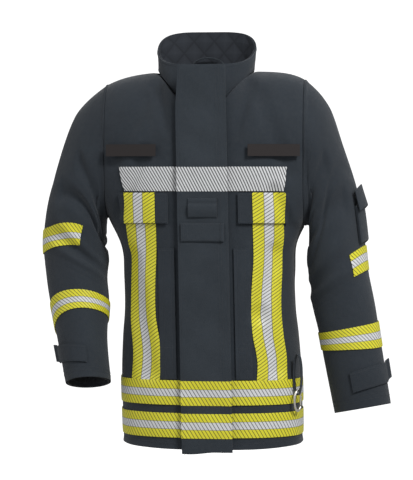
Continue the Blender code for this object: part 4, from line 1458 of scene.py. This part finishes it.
ZIP_ENDS = [
    # piece, node, slot, finish, half width, low and high z, rows, lifts
    ("zip_stop", "zip_bottom_box", "zip_black", zip_plastic, 0.0055, 0.028, 0.0396, 6, 0.0028, -0.0012),
    ("zip_slider_metal", "zip_slider", "steel", steel, 0.0056, 0.7990, 0.8120, 8, 0.0030, 0.0018),
    ("zip_pull_metal", "zip_pull", "steel", steel, 0.0030, 0.7750, 0.8050, 12, 0.0045, 0.0035),
]
for name, node, slot, finish, half, low_z, high_z, rows, high, low in ZIP_ENDS:
    piece = slab(name, strip_at(-half, half, low_z, high_z), 6, rows, high, low, finish)
    dress(piece, node, slot)
print("zip made")

# %% [markdown]
# ## Carabiner, its webbing and the hanger loop
# The carabiner hangs from a webbing loop over the upper hem band on the wearer's left. Its
# body and gate are round steel rods swept along the outline.


# %% Rods swept along a path
ROD_SIDES = 12
ROD_END = [0.45, 0.85]


def rod(name, points, radius, material):
    """A round bar with domed ends along a path, in coat coordinates."""
    bm = bmesh.new()
    rings = []
    count = len(points)
    ease = ROD_END + [1.0] * (count - 2 * len(ROD_END)) + ROD_END[::-1]
    for i, point in enumerate(points):
        ahead = points[min(i + 1, count - 1)] - points[max(i - 1, 0)]
        along = ahead.normalized()
        across = along.cross(CARABINER_FACE).normalized()
        other = along.cross(across)
        ring = []
        for k in range(ROD_SIDES):
            turn = 2 * math.pi * k / ROD_SIDES
            spread = (across * math.cos(turn) + other * math.sin(turn)) * radius * ease[i]
            ring.append(bm.verts.new(point + spread - HANGER_POINT))
        rings.append(ring)
    for one, two in zip(rings, rings[1:]):
        for k in range(ROD_SIDES):
            bm.faces.new((one[k], one[(k + 1) % ROD_SIDES], two[(k + 1) % ROD_SIDES], two[k]))
    bm.faces.new(rings[0][::-1])
    bm.faces.new(rings[-1])
    bmesh.ops.recalc_face_normals(bm, faces=bm.faces)
    mesh = bpy.data.meshes.new(name)
    bm.to_mesh(mesh)
    bm.free()
    mesh.shade_smooth()
    mesh.materials.append(material)
    return add_object(name, mesh)


CARABINER_X = 0.176
CARABINER_TOP_Z = 0.140
CARABINER_LIFT = 0.014
HOOK_HALF_WIDTH = 0.0115
HOOK_HALF_HEIGHT = 0.021
WIRE = 0.0026
UPWARD = Vector((0, 0, 1))
WEBBING_HALF_HEIGHT = 0.0429
WEBBING_HALF_DEPTH = 0.0100
WEBBING_HALF_WIDTH = 0.0040
WEBBING_RISE = 0.034
WEBBING_LIFTS = (0.0007, -0.0007)
CARABINER_ANGLE = angle_at(CARABINER_TOP_Z, CARABINER_X)
CARABINER_FACE = body_normal(CARABINER_ANGLE, CARABINER_TOP_Z)
CARABINER_FACE = Vector((CARABINER_FACE.x, CARABINER_FACE.y, 0)).normalized()
CARABINER_SIDE = UPWARD.cross(CARABINER_FACE)
CARABINER_TOP = body_point(CARABINER_ANGLE, CARABINER_TOP_Z) + CARABINER_FACE * CARABINER_LIFT


def carabiner_place(across, down):
    return CARABINER_TOP + CARABINER_SIDE * across - UPWARD * down


def hook_point(degrees):
    t = math.radians(degrees)
    return carabiner_place(-HOOK_HALF_WIDTH * math.sin(t), HOOK_HALF_HEIGHT * (1 - math.cos(t)))


hook_points = [hook_point(mix(-57, 235, i / 72)) for i in range(73)]
hook = rod("carabiner_bar", hook_points, WIRE, steel)
dress(hook, "carabiner_body", "steel")
gate_ends = [hook_point(237), hook_point(-59)]
gate_points = [gate_ends[0].lerp(gate_ends[1], mix(0.02, 0.98, i / 24)) for i in range(25)]
gate_bar = rod("carabiner_gate_bar", gate_points, WIRE * 0.86, steel)
dress(gate_bar, "carabiner_gate", "steel")


def webbing_at(u, v, lift):
    """A ribbon running round a long upright oval; u goes round it and v across the ribbon."""
    turn = 2 * math.pi * u
    rise = UPWARD * WEBBING_HALF_HEIGHT * math.cos(turn)
    reach = CARABINER_FACE * WEBBING_HALF_DEPTH * math.sin(turn)
    centre = carabiner_place(mix(-WEBBING_HALF_WIDTH, WEBBING_HALF_WIDTH, v), -WEBBING_RISE)
    outward = UPWARD * (math.cos(turn) / WEBBING_HALF_HEIGHT)
    outward += CARABINER_FACE * (math.sin(turn) / WEBBING_HALF_DEPTH)
    return centre + rise + reach + outward.normalized() * lift


webbing = slab("webbing_ribbon", webbing_at, 72, 6, *WEBBING_LIFTS, flap_cloth, closed=True)
dress(webbing, "webbing_loop", "shell_cloth")


HANGER_HALF_WIDTH = 0.035
HANGER_HEIGHT = 0.020
HANGER_HALF_DEPTH = 0.003
HANGER_LIFTS = (0.0012, -0.0012)


def hanger_at(u, v, lift):
    turn = math.pi * u
    y = HANGER_POINT.y + mix(-HANGER_HALF_DEPTH, HANGER_HALF_DEPTH, v)
    z = HANGER_POINT.z - HANGER_HEIGHT * (1 - math.sin(turn))
    arch = Vector((-HANGER_HALF_WIDTH * math.cos(turn), y, z))
    outward = Vector((-math.cos(turn) / HANGER_HALF_WIDTH, 0, math.sin(turn) / HANGER_HEIGHT)).normalized()
    return arch + outward * lift


hanger = slab("hanger_ribbon", hanger_at, 40, 6, *HANGER_LIFTS, flap_cloth)
dress(hanger, "hanger_loop", "shell_cloth")

# %% [markdown]
# ## Studio
# A wide bowl of pale paper stands well clear of the hem, so that every view has the same plain
# ground. One soft key light from above on the wearer's left, a weaker fill opposite, a light
# from behind and an even sky give the flat catalogue light of the photo.


# %% Floor, backdrop and lights
FLOOR_Z = -1.35
PAPER_RADIUS = 12.0
PAPER_BEND = 2.5
PAPER_TOP_Z = 9.0
PAPER_SIDES = 64
PAPER_STEPS = 12
COAT_MIDDLE = Vector((0, 0, -0.40))


def backdrop():
    """A wide shallow bowl of pale paper, seen by the camera from every side. It casts no light."""
    flat = PAPER_RADIUS - PAPER_BEND
    rings = [(0.01, FLOOR_Z), (flat, FLOOR_Z)]
    for step in range(1, PAPER_STEPS + 1):
        turn = math.pi / 2 * step / PAPER_STEPS
        height = FLOOR_Z + PAPER_BEND - PAPER_BEND * math.cos(turn)
        rings.append((flat + PAPER_BEND * math.sin(turn), height))
    rings.append((PAPER_RADIUS, PAPER_TOP_Z))
    points = []
    faces = []
    for radius, z in rings:
        for k in range(PAPER_SIDES):
            turn = 2 * math.pi * k / PAPER_SIDES
            points.append((radius * math.cos(turn), radius * math.sin(turn), z))
    for start in range(0, PAPER_SIDES * (len(rings) - 1), PAPER_SIDES):
        for k in range(PAPER_SIDES):
            a = start + k
            b = start + (k + 1) % PAPER_SIDES
            faces.append((a, b, b + PAPER_SIDES, a + PAPER_SIDES))
    mesh = bpy.data.meshes.new("backdrop")
    mesh.from_pydata(points, [], faces)
    mesh.shade_smooth()
    paper = bpy.data.materials.new("pale_paper")
    paper.use_nodes = True
    shader = paper.node_tree.nodes["Principled BSDF"]
    shader.inputs["Base Color"].default_value = (0.88, 0.88, 0.88, 1)
    shader.inputs["Roughness"].default_value = 0.9
    shader.inputs["Emission Color"].default_value = (1, 1, 1, 1)
    shader.inputs["Emission Strength"].default_value = 0.75
    mesh.materials.append(paper)
    item = add_object("backdrop", mesh)
    item.visible_diffuse = False
    item.visible_glossy = False
    item.visible_shadow = False


def soft_light(name, place, size, watts):
    data = bpy.data.lights.new(name, "AREA")
    data.shape = "RECTANGLE"
    data.size = size[0]
    data.size_y = size[1]
    data.energy = watts
    item = add_object(name, data)
    item.location = place
    item.rotation_euler = (COAT_MIDDLE - Vector(place)).to_track_quat("-Z", "Y").to_euler()
    item.visible_camera = False


backdrop()
soft_light("key", (2.0, -2.2, 2.0), (1.0, 1.0), 104)
soft_light("fill", (-2.6, -1.8, 0.6), (1.6, 1.6), 16)
soft_light("rim", (0.4, 2.2, 1.9), (2.6, 1.2), 34)
world = bpy.data.worlds.new("studio")
world.use_nodes = True
world.node_tree.nodes["Background"].inputs["Color"].default_value = (1, 1, 1, 1)
world.node_tree.nodes["Background"].inputs["Strength"].default_value = 0.42
bpy.context.scene.world = world
bpy.context.scene.view_settings.view_transform = "Standard"

# %% Camera
camera_data = bpy.data.cameras.new("camera")
camera_data.lens = 157.5
camera_data.sensor_width = 36
camera = add_object("camera", camera_data)
camera.location = (0.431, -4.522, -0.276)
camera_aim = Vector((0, -0.043, -0.392))
camera.rotation_euler = (camera_aim - camera.location).to_track_quat("-Z", "Y").to_euler()
bpy.context.scene.camera = camera
print("camera at", tuple(round(v, 3) for v in camera.location))
